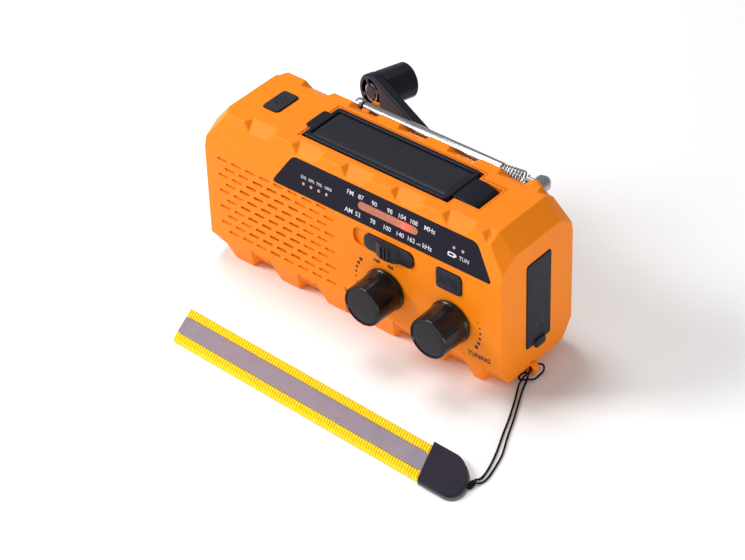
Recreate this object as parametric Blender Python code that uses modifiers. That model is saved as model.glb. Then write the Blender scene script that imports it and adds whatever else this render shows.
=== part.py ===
"""Hand-cranked emergency radio with a solar lid, a telescopic aerial and a reflective hand strap.

The front faces -Y, the right-hand end faces +X, and the radio stands on z = 0. Every size below is in
millimetres, and one helper turns it into the metres of the scene.
"""

import math

import bmesh
import bpy
from mathutils import Matrix, Vector

MM = 0.001
GAP = 0.3

# The case: a chamfered block with raised bumps along its long edges.
HALF_WIDTH = 78.0
HALF_DEPTH = 23.7
HEIGHT = 75.0
FOLD_Z = 56.5
RIM_Y = 20.4
RIM_Z = 71.4
BUMP_Y = 19.4
NOTCH_Y = 14.9
SKIRT_Z = 12.5
TOP_HALF_WIDTH = 70.7
SIDE_TOP_Z = 66.0
SIDE_BOTTOM_Z = 4.0
BOTTOM_HALF_WIDTH = 72.0
CORNER_POINTS = ((70.7, 14.4, 75.0), (78.0, 15.2, 66.0), (78.0, 22.7, 61.0))
WALL = 2.0
PARTING_Y = 1.0

# The bumps repeat along X; the last one is cut short.
BUMP_PITCH = 25.9
FIRST_BUMP_X = -63.3
BUMP_COUNT = 6
LAST_BUMP_SHORTER = 6.0
BUMP_HALF_AT_RIM = 8.35
BUMP_HALF_AT_RIDGE = 5.0
BUMP_HALF_AT_TOP = 6.25

# The dial lies on the leaning upper part of the front.
LEAN = math.atan2(HALF_DEPTH - RIM_Y, RIM_Z - FOLD_Z)
DIAL_CENTRE_X = 16.6
DIAL_LOW_HALF = 57.0
DIAL_HIGH_HALF = 47.5
DIAL_LOW_V = -0.9
DIAL_HIGH_V = 14.0
DIAL_THICK = 1.1
SLOT_LEFT_X = 4.2
SLOT_RIGHT_X = 35.6
SLOT_V = 6.4
SLOT_HALF = 2.0
POINTER_X = 27.2
CHARGE_LIGHTS_X = (-24.0, -19.9, -15.8, -11.7)
CHARGE_LIGHTS_V = 4.1
STATE_LIGHTS_X = (53.6, 58.0)
STATE_LIGHTS_V = 7.3
LIGHT_RADIUS = 0.75

# The speaker and its grille of short slots.
SPEAKER_X = -40.5
SPEAKER_Z = 34.5
SPEAKER_RADIUS = 20.0
SLOT_PITCH_X = 7.75
SLOT_PITCH_Z = 4.1
GRILLE_LEFT_X = -71.0
GRILLE_TOP_Z = 54.0
GRILLE_ROWS = 10
GRILLE_COLUMNS = 8
GRILLE_SLOT = (5.4, 1.0)

# Controls on the front.
VOLUME_X, VOLUME_Z = 19.2, 27.7
TUNING_X, TUNING_Z = 53.2, 27.9
KNOB_RADIUS = 9.3
KNOB_FLANGE_RADIUS = 9.9
KNOB_LENGTH = 14.7
SWITCH_X, SWITCH_Z = 18.7, 48.3
SWITCH_SLOT = (32.0, 8.4)
SWITCH_CAP = (25.4, 7.6)
SWITCH_TRAVEL = 5.6
SOS_X, SOS_Z = 52.3, 47.3
SOS_SIZE = (12.6, 9.6)

# The top: lamp button, lamp tray and the solar lid that hinges on its right.
LAMP_BUTTON_X, LAMP_BUTTON_Y = -55.5, 0.5
LAMP_BUTTON_SIZE = (8.4, 14.0)
TRAY_LEFT, TRAY_RIGHT = -34.6, 43.4
TRAY_HALF_Y = 12.9
TRAY_FLOOR_Z = 69.4
HINGE_BAY_RIGHT = 56.0
HINGE_BAY_HALF_Y = 8.9
LID_LEFT, LID_RIGHT = -33.4, 41.5
LID_HALF_Y = 11.7
LID_BOTTOM_Z, LID_TOP_Z = 72.6, 75.8
LID_HINGE_X, LID_HINGE_Z = 50.4, 71.0

# The crank on the back: hub axis, arm length, and how the opened arm points and leans.
CRANK_X, CRANK_Z = 3.0, 54.0
CRANK_LENGTH = 46.4
CRANK_SLOPE = math.radians(14.6)
CRANK_LEAN = math.radians(15.0)
CRANK_PIN_Y = 25.6
ARM_THICK = 4.4
ARM_FACE = 1.9
ARM_HALF_WIDTH = 8.2
CRANK_KNOB_RADIUS = 8.0
CRANK_KNOB_LENGTH = 15.0

# The gear train behind the hub.
MODULE = 0.7
DRIVE_TEETH = 28
IDLER_SMALL_TEETH = 10
IDLER_BIG_TEETH = 24
PINION_TEETH = 8
MESH_SLACK = 0.25

# The aerial, folded down along the back of the top edge.
AERIAL_Y, AERIAL_Z = 24.1, 70.5
AERIAL_PIVOT_X = 61.0
SPRING_LEFT, SPRING_RIGHT = 42.6, 54.0
TUBE_LEFT, TUBE_RIGHT = -29.6, 42.2

# The right-hand end.
PORT_Y, PORT_Z = 0.9, 35.2
PORT_HALF_Y, PORT_HALF_Z = 7.8, 21.0

# The battery in the lower back.
BATTERY_Y, BATTERY_Z = 9.6, 24.0
BATTERY_RADIUS, BATTERY_LENGTH = 9.1, 65.0
DOOR_LEFT, DOOR_RIGHT = -42.0, 35.0
DOOR_LOW_Z, DOOR_HIGH_Z = 14.5, 36.5
DOOR_INNER_Y, DOOR_OUTER_Y = 22.1, 23.6

# The strap lies on the table in front of the radio; the cord joins it to the lug.
LUG_X, LUG_Z = 77.9, 3.05
LUG_Y = (-4.6, -1.6)
LUG_RADIUS = 2.95
CORD_DIAMETER = 0.8
STRAP_FAR = Vector((-54.4, -68.2, 0.0))
STRAP_NEAR = Vector((79.2, -73.3, 0.0))
STRAP_CROSS = Vector((-4.0, 10.0, 0.0))
STRAP_THICK = (0.3, 2.1)
TAB_LENGTH, TAB_STEP = 11.6, 1.3
TAB_COVER_Z, TAB_BASE_Z = (1.5, 3.1), (0.0, 1.2)

MATERIALS = {}
PARTS = None
CUTTERS = None


def start_scene():
    """Clears the scene and makes the two collections."""
    global PARTS, CUTTERS
    for obj in list(bpy.data.objects):
        bpy.data.objects.remove(obj, do_unlink=True)
    PARTS = bpy.data.collections.new("emergency_radio")
    CUTTERS = bpy.data.collections.new("emergency_radio_cutters")
    for collection in (PARTS, CUTTERS):
        bpy.context.scene.collection.children.link(collection)
    CUTTERS.hide_render = True


def material(name, colour, roughness, metallic=0.0):
    """Returns the named material, made on first use."""
    if name not in MATERIALS:
        made = bpy.data.materials.new(name)
        made.use_nodes = True
        shader = made.node_tree.nodes["Principled BSDF"]
        shader.inputs["Base Color"].default_value = (*colour, 1.0)
        shader.inputs["Roughness"].default_value = roughness
        shader.inputs["Metallic"].default_value = metallic
        MATERIALS[name] = made
    return MATERIALS[name]


def orange():
    return material("orange_case", (0.95, 0.27, 0.02), 0.42)


def black():
    return material("black_plastic", (0.02, 0.02, 0.025), 0.4)


def rubber():
    return material("black_rubber", (0.03, 0.03, 0.035), 0.8)


def chrome():
    return material("chrome", (0.8, 0.8, 0.82), 0.15, 1.0)


def steel():
    return material("steel", (0.55, 0.55, 0.57), 0.35, 1.0)


def board_green():
    return material("circuit_board", (0.02, 0.16, 0.07), 0.5)


def white():
    return material("white_plastic", (0.8, 0.8, 0.78), 0.4)


# ---- meshes ----------------------------------------------------------------------------------------


def add_box(mesh, low, high):
    """Adds a box between two corners and returns its vertices."""
    size = [b - a for a, b in zip(low, high)]
    middle = [(a + b) / 2 for a, b in zip(low, high)]
    matrix = Matrix.Translation(middle) @ Matrix.Diagonal((*size, 1.0))
    return bmesh.ops.create_cube(mesh, size=1.0, matrix=matrix)["verts"]


def add_rod(mesh, start, end, radius, sides=24, end_radius=None):
    """Adds a closed cylinder or cone between two points."""
    start, end = Vector(start), Vector(end)
    along = end - start
    turn = along.to_track_quat("Z", "Y").to_matrix().to_4x4()
    bmesh.ops.create_cone(
        mesh,
        cap_ends=True,
        segments=sides,
        radius1=radius,
        radius2=radius if end_radius is None else end_radius,
        depth=along.length,
        matrix=Matrix.Translation((start + end) / 2) @ turn,
    )


def add_hull(mesh, points):
    """Adds the convex solid around a few points."""
    verts = [mesh.verts.new(point) for point in points]
    result = bmesh.ops.convex_hull(mesh, input=verts)
    inside = [item for item in result["geom_interior"] if isinstance(item, bmesh.types.BMVert)]
    bmesh.ops.delete(mesh, geom=inside, context="VERTS")


def rounded_box(mesh, low, high, radius, axis, segments=4):
    """Adds a box whose edges along one axis are rounded."""
    verts = add_box(mesh, low, high)
    edges = {edge for vert in verts for edge in vert.link_edges}
    along = [
        edge
        for edge in edges
        if abs((edge.verts[0].co - edge.verts[1].co).normalized()[axis]) > 0.99
    ]
    bmesh.ops.bevel(
        mesh, geom=along, offset=radius, segments=segments, profile=0.5, affect="EDGES"
    )


def cut_by_plane(mesh, point, normal):
    """Cuts a convex solid by a plane, keeps the side behind it and closes the cut."""
    bmesh.ops.bisect_plane(
        mesh,
        geom=mesh.verts[:] + mesh.edges[:] + mesh.faces[:],
        plane_co=point,
        plane_no=normal,
        clear_outer=True,
    )
    rim = [edge for edge in mesh.edges if edge.is_boundary]
    if rim:
        bmesh.ops.contextual_create(mesh, geom=rim)


def lean_frame():
    """The frame of the leaning front: X along the fold, Y up the lean, Z outwards, origin on the fold."""
    up = Vector((0.0, math.sin(LEAN), math.cos(LEAN)))
    out = Vector((0.0, -math.cos(LEAN), math.sin(LEAN)))
    across = Vector((1.0, 0.0, 0.0))
    frame = Matrix((across, up, out)).transposed().to_4x4()
    frame.translation = (0.0, -HALF_DEPTH, FOLD_Z)
    return frame


def finish(name, mesh, surface, collection=None, smooth=False):
    """Turns a mesh in millimetres into an object in metres."""
    bmesh.ops.recalc_face_normals(mesh, faces=mesh.faces[:])
    bmesh.ops.scale(mesh, vec=(MM, MM, MM), verts=mesh.verts[:])
    data = bpy.data.meshes.new(name)
    mesh.to_mesh(data)
    mesh.free()
    if surface is not None:
        data.materials.append(surface)
    if smooth:
        data.shade_smooth()
        data.set_sharp_from_angle(angle=math.radians(35.0))
    obj = bpy.data.objects.new(name, data)
    (collection or PARTS).objects.link(obj)
    return obj


def cutter(name, mesh):
    """Makes a hidden tool body."""
    obj = finish(name, mesh, None, CUTTERS)
    obj.hide_render = True
    obj.display_type = "WIRE"
    return obj


def combine(obj, tool, operation, crossing=False):
    """Adds one Boolean to an object; crossing is for a tool whose own solids pass through each other."""
    modifier = obj.modifiers.new(f"{operation.lower()}_{tool.name}", "BOOLEAN")
    modifier.object = tool
    modifier.operation = operation
    modifier.solver = "EXACT"
    modifier.use_self = crossing


def cut(obj, *tools, crossing=False):
    for tool in tools:
        combine(obj, tool, "DIFFERENCE", crossing)


def join(obj, *tools, crossing=False):
    for tool in tools:
        combine(obj, tool, "UNION", crossing)


def simple(name, surface, *boxes):
    """One object from boxes that touch nothing else, for a single box."""
    mesh = bmesh.new()
    for low, high in boxes:
        add_box(mesh, low, high)
    return finish(name, mesh, surface)


def rod(name, surface, start, end, radius, sides=24):
    """One round rod as an object."""
    mesh = bmesh.new()
    add_rod(mesh, start, end, radius, sides)
    return finish(name, mesh, surface, smooth=True)


def turned(name, profile, sides, surface, place):
    """Turns an (r, z) profile about Z with a Screw modifier and puts it where it belongs."""
    mesh = bmesh.new()
    verts = [mesh.verts.new((radius, 0.0, height)) for radius, height in profile]
    for first, second in zip(verts, verts[1:]):
        mesh.edges.new((first, second))
    bmesh.ops.scale(mesh, vec=(MM, MM, MM), verts=mesh.verts[:])
    data = bpy.data.meshes.new(name)
    mesh.to_mesh(data)
    mesh.free()
    data.materials.append(surface)
    obj = bpy.data.objects.new(name, data)
    PARTS.objects.link(obj)
    spin = obj.modifiers.new("turn", "SCREW")
    spin.steps = sides
    spin.render_steps = sides
    spin.use_merge_vertices = True
    spin.merge_threshold = 0.00001
    spin.use_smooth_shade = True
    placed = place.copy()
    placed.translation = place.translation * MM
    obj.matrix_world = placed
    return obj


def place_axis(point, direction):
    """A matrix with its Z along a direction, at a point."""
    turn = Vector(direction).to_track_quat("Z", "Y").to_matrix().to_4x4()
    turn.translation = Vector(point)
    return turn


# ---- the case --------------------------------------------------------------------------------------


def plane_through(first, second, inset):
    """A plane that holds the X direction and two (y, z) points, moved inwards by an inset."""
    along = Vector((0.0, second[0] - first[0], second[1] - first[1]))
    normal = along.cross(Vector((1.0, 0.0, 0.0))).normalized()
    point = Vector((0.0, *first))
    if normal.dot(point - Vector((0.0, 0.0, HEIGHT / 2))) < 0:
        normal = -normal
    return point - normal * inset, normal


def corner_plane(sign_x, sign_y, inset):
    """The sloping facet between an end, the top and the leaning front or back."""
    points = [Vector((x * sign_x, y * sign_y, z)) for x, y, z in CORNER_POINTS]
    normal = (points[1] - points[0]).cross(points[2] - points[0]).normalized()
    if normal.x * sign_x < 0:
        normal = -normal
    return points[0] - normal * inset, normal


def case_block(inset, with_bumps):
    """The case as a solid block, moved inwards by an inset; its bumps run the whole length."""
    mesh = bmesh.new()
    add_box(
        mesh,
        (-HALF_WIDTH + inset, -HALF_DEPTH + inset, inset),
        (HALF_WIDTH - inset, HALF_DEPTH - inset, HEIGHT - inset),
    )
    edge_y = BUMP_Y if with_bumps else NOTCH_Y
    planes = []
    for sign in (-1.0, 1.0):
        planes.append(plane_through((sign * HALF_DEPTH, FOLD_Z), (sign * RIM_Y, RIM_Z), inset))
        planes.append(plane_through((sign * RIM_Y, RIM_Z), (sign * edge_y, HEIGHT), inset))
        planes.append(plane_through((sign * HALF_DEPTH, SKIRT_Z), (sign * edge_y, 0.0), inset))
        top = Vector((sign * (HEIGHT - SIDE_TOP_Z), 0.0, HALF_WIDTH - TOP_HALF_WIDTH)).normalized()
        planes.append((Vector((sign * HALF_WIDTH, 0.0, SIDE_TOP_Z)) - top * inset, top))
        low = Vector((sign * SIDE_BOTTOM_Z, 0.0, BOTTOM_HALF_WIDTH - HALF_WIDTH)).normalized()
        planes.append((Vector((sign * HALF_WIDTH, 0.0, SIDE_BOTTOM_Z)) - low * inset, low))
        planes.append(corner_plane(sign, -1.0, inset))
        planes.append(corner_plane(sign, 1.0, inset))
    for point, normal in planes:
        cut_by_plane(mesh, point, normal)
    return mesh


def bump_edges(index):
    """The left and right X of a bump at the rim, the ridge and the top line."""
    middle = FIRST_BUMP_X + index * BUMP_PITCH
    shorter = LAST_BUMP_SHORTER if index == BUMP_COUNT - 1 else 0.0
    halves = (BUMP_HALF_AT_RIM, BUMP_HALF_AT_RIDGE, BUMP_HALF_AT_TOP)
    left = [middle - half for half in halves]
    right = [middle + half - shorter for half in halves]
    return left, right


def notch_cutters(side):
    """The wedges between the bumps, along the top and the bottom of the front (-1) or back (1)."""
    mesh = bmesh.new()
    far = 12.0
    starts = [[-HALF_WIDTH - far] * 3] + [bump_edges(index)[1] for index in range(BUMP_COUNT)]
    ends = [bump_edges(index)[0] for index in range(BUMP_COUNT)] + [[HALF_WIDTH + far] * 3]
    rims = (
        ((RIM_Y, RIM_Z), (BUMP_Y, HEIGHT), (NOTCH_Y, HEIGHT)),
        ((HALF_DEPTH, SKIRT_Z), (BUMP_Y, 0.0), (NOTCH_Y, 0.0)),
    )
    for start, end in zip(starts, ends):
        for rim in rims:
            points = []
            for edges in (start, end):
                corners = [
                    Vector((x, side * y, z)) for x, (y, z) in zip(edges, rim)
                ]
                middle = (corners[0] + corners[2]) / 2
                peak = middle + (corners[1] - middle) * 2.4
                for corner in (corners[0], corners[2]):
                    points.append(middle + (corner - middle) * 1.03)
                points.append(peak)
            add_hull(mesh, points)
    return cutter(f"notches_{'front' if side < 0 else 'back'}", mesh)


def half_case(name, side):
    """One half of the case as a solid block, cut at the parting plane."""
    mesh = case_block(0.0, True)
    normal = Vector((0.0, -side, 0.0))
    cut_by_plane(mesh, Vector((0.0, PARTING_Y + side * GAP / 2, 0.0)), normal)
    return finish(name, mesh, orange())


def grille_cutter():
    """The open slots of the grille, which lie in a circle before the speaker."""
    mesh = bmesh.new()
    half_x, half_z = GRILLE_SLOT[0] / 2, GRILLE_SLOT[1] / 2
    for row in range(GRILLE_ROWS):
        z = GRILLE_TOP_Z - row * SLOT_PITCH_Z
        shift = SLOT_PITCH_X / 2 if row % 2 else 0.0
        for column in range(GRILLE_COLUMNS):
            x = GRILLE_LEFT_X + half_x + column * SLOT_PITCH_X + shift
            if math.hypot(x - SPEAKER_X, z - SPEAKER_Z) < SPEAKER_RADIUS - 1.5:
                add_box(mesh, (x - half_x, -30.0, z - half_z), (x + half_x, -15.0, z + half_z))
    return cutter("grille_slots", mesh)


def dial_outline(mesh, grow, low, high):
    """Adds the dial's trapezoid between two heights above the leaning front, in that front's frame."""
    verts = add_box(
        mesh,
        (-1.0, DIAL_LOW_V - grow, low),
        (1.0, DIAL_HIGH_V + grow, high),
    )
    edges = {edge for vert in verts for edge in vert.link_edges}
    for vert in verts:
        share = (vert.co.y - DIAL_LOW_V) / (DIAL_HIGH_V - DIAL_LOW_V)
        half = DIAL_LOW_HALF + (DIAL_HIGH_HALF - DIAL_LOW_HALF) * share + grow
        vert.co.x = DIAL_CENTRE_X + math.copysign(half, vert.co.x)
    upright = [edge for edge in edges if abs(edge.verts[0].co.z - edge.verts[1].co.z) > 1e-6]
    bmesh.ops.bevel(mesh, geom=upright, offset=2.4, segments=4, profile=0.5, affect="EDGES")


def front_housing():
    case = half_case("front_housing", -1.0)
    mesh = case_block(WALL, False)
    cut(case, cutter("front_cavity", mesh), notch_cutters(-1.0))
    posts = bmesh.new()
    for x, z in screw_places():
        add_rod(posts, (x, -HALF_DEPTH + 1.0, z), (x, PARTING_Y - GAP, z), 3.2, 16)
    join(case, cutter("front_posts", posts))
    join(case, cutter("strap_lug_lump", strap_lug()), crossing=True)
    holes = bmesh.new()
    for x, z in screw_places():
        add_rod(holes, (x, -9.0, z), (x, 8.0, z), 1.5, 16)
    add_rod(holes, (LUG_X + 0.4, LUG_Y[0] - 4, LUG_Z), (LUG_X + 0.4, LUG_Y[1] + 4, LUG_Z), 1.4, 16)
    add_rod(holes, (VOLUME_X, -30, VOLUME_Z), (VOLUME_X, -15, VOLUME_Z), 4.0)
    add_rod(holes, (TUNING_X, -30, TUNING_Z), (TUNING_X, -15, TUNING_Z), 4.0)
    half_x, half_z = SOS_SIZE[0] / 2 + GAP, SOS_SIZE[1] / 2 + GAP
    rounded_box(
        holes, (SOS_X - half_x, -30, SOS_Z - half_z), (SOS_X + half_x, -15, SOS_Z + half_z), 1.8, 1
    )
    half_x, half_z = SWITCH_SLOT[0] / 2, SWITCH_SLOT[1] / 2
    rounded_box(
        holes,
        (SWITCH_X - half_x, -30, SWITCH_Z - half_z),
        (SWITCH_X + half_x, -HALF_DEPTH + 1.2, SWITCH_Z + half_z),
        3.0,
        1,
    )
    cut(case, cutter("front_holes", holes))
    stem = bmesh.new()
    add_box(stem, (SWITCH_X - 9, -26, SWITCH_Z - 2), (SWITCH_X + 9, -15, SWITCH_Z + 2))
    cut(case, cutter("switch_stem_slot", stem))
    pocket = bmesh.new()
    dial_outline(pocket, GAP, -DIAL_THICK - GAP, 6.0)
    bmesh.ops.transform(pocket, matrix=lean_frame(), verts=pocket.verts[:])
    cut(case, cutter("dial_pocket", pocket))
    window = bmesh.new()
    add_box(
        window,
        (SLOT_LEFT_X - 1.5, SLOT_V - 3.0, -6.0),
        (SLOT_RIGHT_X + 1.5, SLOT_V + 3.0, 0.0),
    )
    for x in CHARGE_LIGHTS_X:
        add_rod(window, (x, CHARGE_LIGHTS_V, -6.0), (x, CHARGE_LIGHTS_V, 0.0), LIGHT_RADIUS + 0.6, 12)
    for x in STATE_LIGHTS_X:
        add_rod(window, (x, STATE_LIGHTS_V, -6.0), (x, STATE_LIGHTS_V, 0.0), LIGHT_RADIUS + 0.6, 12)
    bmesh.ops.transform(window, matrix=lean_frame(), verts=window.verts[:])
    cut(case, cutter("dial_window_opening", window), grille_cutter(), shared_openings())
    return case


def strap_lug():
    """The eye at the lower right corner that the cord runs through, with its root in the case."""
    lug = bmesh.new()
    add_rod(lug, (LUG_X, LUG_Y[0], LUG_Z), (LUG_X, LUG_Y[1], LUG_Z), LUG_RADIUS, 24)
    add_hull(
        lug,
        [
            Vector((x, y, z))
            for x, z in ((72.0, 1.5), (77.5, 5.6), (74.5, 1.3), (79.3, 5.3))
            for y in (LUG_Y[0] + 0.2, LUG_Y[1] - 0.2)
        ],
    )
    return lug


def screw_places():
    """X and Z of the four case screws."""
    return ((-66.0, 17.0), (-66.0, 57.0), (67.0, 16.5), (66.0, 57.5))


def shared_openings():
    """Openings that cross the parting plane: the lamp tray, its button, the torch and the sockets."""
    if "shared_openings" in bpy.data.objects:
        return bpy.data.objects["shared_openings"]
    mesh = bmesh.new()
    add_box(
        mesh,
        (TRAY_LEFT - GAP, -TRAY_HALF_Y - GAP, 60.0),
        (TRAY_RIGHT + GAP, TRAY_HALF_Y + GAP, 80.0),
    )
    half_x, half_y = LAMP_BUTTON_SIZE[0] / 2 + GAP, LAMP_BUTTON_SIZE[1] / 2 + GAP
    rounded_box(
        mesh,
        (LAMP_BUTTON_X - half_x, LAMP_BUTTON_Y - half_y, 65.0),
        (LAMP_BUTTON_X + half_x, LAMP_BUTTON_Y + half_y, 80.0),
        1.8,
        2,
    )
    add_rod(mesh, (-90, 0, 37), (-70, 0, 37), 10.3, 32)
    add_box(
        mesh,
        (HALF_WIDTH - 1.5, PORT_Y - PORT_HALF_Y - GAP, PORT_Z - PORT_HALF_Z - GAP),
        (90, PORT_Y + PORT_HALF_Y + GAP, PORT_Z + PORT_HALF_Z + GAP),
    )
    tool = cutter("shared_openings", mesh)
    return tool


def bay_openings():
    """The hinge bay of the tray and the socket openings, which touch the cuts above."""
    if "bay_openings" in bpy.data.objects:
        return bpy.data.objects["bay_openings"]
    mesh = bmesh.new()
    add_box(
        mesh,
        (TRAY_RIGHT - 2.0, -HINGE_BAY_HALF_Y - GAP, 60.0),
        (HINGE_BAY_RIGHT + GAP, HINGE_BAY_HALF_Y + GAP, 80.0),
    )
    for (low_y, low_z), (high_y, high_z) in socket_places():
        add_box(mesh, (70, low_y - GAP, low_z - GAP), (90, high_y + GAP, high_z + GAP))
    return cutter("bay_openings", mesh)


def socket_places():
    """Low and high (y, z) corners of the USB, charging and earphone sockets."""
    return (((-5.6, 23.5), (7.4, 29.2)), ((-2.9, 35.5), (4.7, 38.5)), ((-2.3, 44.5), (4.1, 50.9)))


def rear_housing():
    case = half_case("rear_housing", 1.0)
    mesh = case_block(WALL, False)
    cut(case, cutter("rear_cavity", mesh), notch_cutters(1.0))
    lumps = bmesh.new()
    add_box(lumps, (-10.5, 16.6, 43.6), (61.0, 22.4, 64.4))
    join(case, cutter("crank_bay_lump", lumps))
    cup_x = CRANK_X + CRANK_LENGTH
    cup = bmesh.new()
    add_rod(cup, (cup_x, 2.4, CRANK_Z), (cup_x, 21.0, CRANK_Z), 11.2, 32)
    join(case, cutter("crank_cup_lump", cup))
    posts = bmesh.new()
    for x, z in screw_places():
        add_rod(posts, (x, PARTING_Y + GAP, z), (x, HALF_DEPTH - 1.2, z), 4.4, 20)
    join(case, cutter("rear_posts", posts))
    boss = bmesh.new()
    add_rod(boss, (AERIAL_PIVOT_X, 17.0, AERIAL_Z), (AERIAL_PIVOT_X, 21.5, AERIAL_Z), 4.0, 24)
    clip_low = (-28.6, 18.5, 64.5)
    clip_high = (-24.8, 28.2, 72.2)
    add_box(boss, clip_low, clip_high)
    join(case, cutter("aerial_boss_and_clip", boss))
    holes = bmesh.new()
    add_rod(holes, (CRANK_X, 18.5, CRANK_Z), (CRANK_X, 30.0, CRANK_Z), 11.6, 40)
    add_rod(holes, (CRANK_X, 10.0, CRANK_Z), (CRANK_X, 18.6, CRANK_Z), 2.6, 20)
    add_rod(holes, (cup_x, 4.0, CRANK_Z), (cup_x, 19.0, CRANK_Z), 9.4, 32)
    for x, z in screw_places():
        add_rod(holes, (x, 8.0, z), (x, 40.0, z), 2.9, 20)
        add_rod(holes, (x, -2.0, z), (x, 8.2, z), 1.5, 16)
    add_rod(holes, (AERIAL_PIVOT_X, 15.0, AERIAL_Z), (AERIAL_PIVOT_X, 30.0, AERIAL_Z), 1.5, 16)
    add_rod(holes, (-35, AERIAL_Y, AERIAL_Z), (-20, AERIAL_Y, AERIAL_Z), 3.0, 20)
    add_box(holes, (-35, AERIAL_Y - 2.98, AERIAL_Z + 0.01), (-20, AERIAL_Y + 2.98, 80.0))
    cut(case, cutter("rear_holes", holes), crossing=True)
    arm = bmesh.new()
    add_box(
        arm,
        (CRANK_X, 18.5, CRANK_Z - ARM_HALF_WIDTH - 0.7),
        (cup_x + ARM_HALF_WIDTH + 1.2, 30.0, CRANK_Z + ARM_HALF_WIDTH + 0.7),
    )
    cut(case, cutter("crank_arm_channel", arm))
    door = bmesh.new()
    add_box(
        door,
        (DOOR_LEFT - GAP, DOOR_INNER_Y - GAP, -5.0),
        (DOOR_RIGHT + GAP, 30.0, DOOR_HIGH_Z + GAP),
    )
    cut(case, cutter("battery_door_pocket", door))
    opening = bmesh.new()
    add_box(opening, (DOOR_LEFT + 3.5, 15.0, DOOR_LOW_Z + 1.5), (DOOR_RIGHT - 3.5, 30.0, DOOR_HIGH_Z - 2.0))
    cut(case, cutter("battery_opening", opening), shared_openings(), bay_openings())
    return case


# ---- dial ------------------------------------------------------------------------------------------


def dial():
    frame = lean_frame()
    mesh = bmesh.new()
    dial_outline(mesh, 0.0, -DIAL_THICK, -0.1)
    bmesh.ops.transform(mesh, matrix=frame, verts=mesh.verts[:])
    panel = finish("dial_panel", mesh, material("dial_panel", (0.012, 0.011, 0.022), 0.3))
    slot = bmesh.new()
    rounded_box(
        slot,
        (SLOT_LEFT_X, SLOT_V - SLOT_HALF, -6.0),
        (SLOT_RIGHT_X, SLOT_V + SLOT_HALF, 3.0),
        1.9,
        2,
    )
    for x in CHARGE_LIGHTS_X:
        add_rod(slot, (x, CHARGE_LIGHTS_V, -6.0), (x, CHARGE_LIGHTS_V, 3.0), LIGHT_RADIUS + GAP, 12)
    for x in STATE_LIGHTS_X:
        add_rod(slot, (x, STATE_LIGHTS_V, -6.0), (x, STATE_LIGHTS_V, 3.0), LIGHT_RADIUS + GAP, 12)
    bmesh.ops.transform(slot, matrix=frame, verts=slot.verts[:])
    cut(panel, cutter("dial_slot", slot))
    back = bmesh.new()
    add_box(back, (SLOT_LEFT_X - 3.0, SLOT_V - 4.0, -4.6), (SLOT_RIGHT_X + 3.0, SLOT_V + 4.0, -3.4))
    bmesh.ops.transform(back, matrix=frame, verts=back.verts[:])
    finish("dial_scale_backing", back, material("salmon", (0.55, 0.17, 0.10), 0.5))
    needle = bmesh.new()
    add_box(needle, (POINTER_X - 0.9, SLOT_V - 2.6, -3.0), (POINTER_X + 0.9, SLOT_V + 2.6, -1.8))
    bmesh.ops.transform(needle, matrix=frame, verts=needle.verts[:])
    finish("tuning_pointer", needle, material("pointer_red", (0.8, 0.05, 0.08), 0.4))
    for name, places, v in (
        ("charge_light_guide", CHARGE_LIGHTS_X, CHARGE_LIGHTS_V),
        ("state_light_guide", STATE_LIGHTS_X, STATE_LIGHTS_V),
    ):
        guide = bmesh.new()
        add_box(guide, (places[0] - 2.0, v - 1.8, -4.4), (places[-1] + 2.0, v + 1.8, -2.6))
        body = finish(name, guide, white())
        pips = bmesh.new()
        for x in places:
            add_rod(pips, (x, v, -3.0), (x, v, 0.1), LIGHT_RADIUS, 12)
        join(body, cutter(f"{name}_pips", pips))
        body.matrix_world = metres(frame)
        bpy.data.objects[f"{name}_pips"].matrix_world = metres(frame)


def metres(matrix):
    """The same placing with its offset in metres."""
    scaled = matrix.copy()
    scaled.translation = matrix.translation * MM
    return scaled


# ---- controls --------------------------------------------------------------------------------------


def knob(name, x, z):
    """A knob with a flange, a slightly tapered body and a recessed cap."""
    profile = (
        (0.0, KNOB_LENGTH - 0.35),
        (KNOB_RADIUS - 1.0, KNOB_LENGTH - 0.35),
        (KNOB_RADIUS - 0.8, KNOB_LENGTH),
        (KNOB_RADIUS - 0.4, KNOB_LENGTH),
        (KNOB_RADIUS - 0.1, KNOB_LENGTH - 0.5),
        (KNOB_RADIUS + 0.1, 1.2),
        (KNOB_FLANGE_RADIUS, 1.2),
        (KNOB_FLANGE_RADIUS, 0.0),
        (3.4, 0.0),
        (3.4, 9.0),
        (0.0, 9.0),
    )
    place = place_axis((x, -HALF_DEPTH - 0.5, z), (0, -1, 0))
    return turned(name, profile, 40, black(), place)


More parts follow.
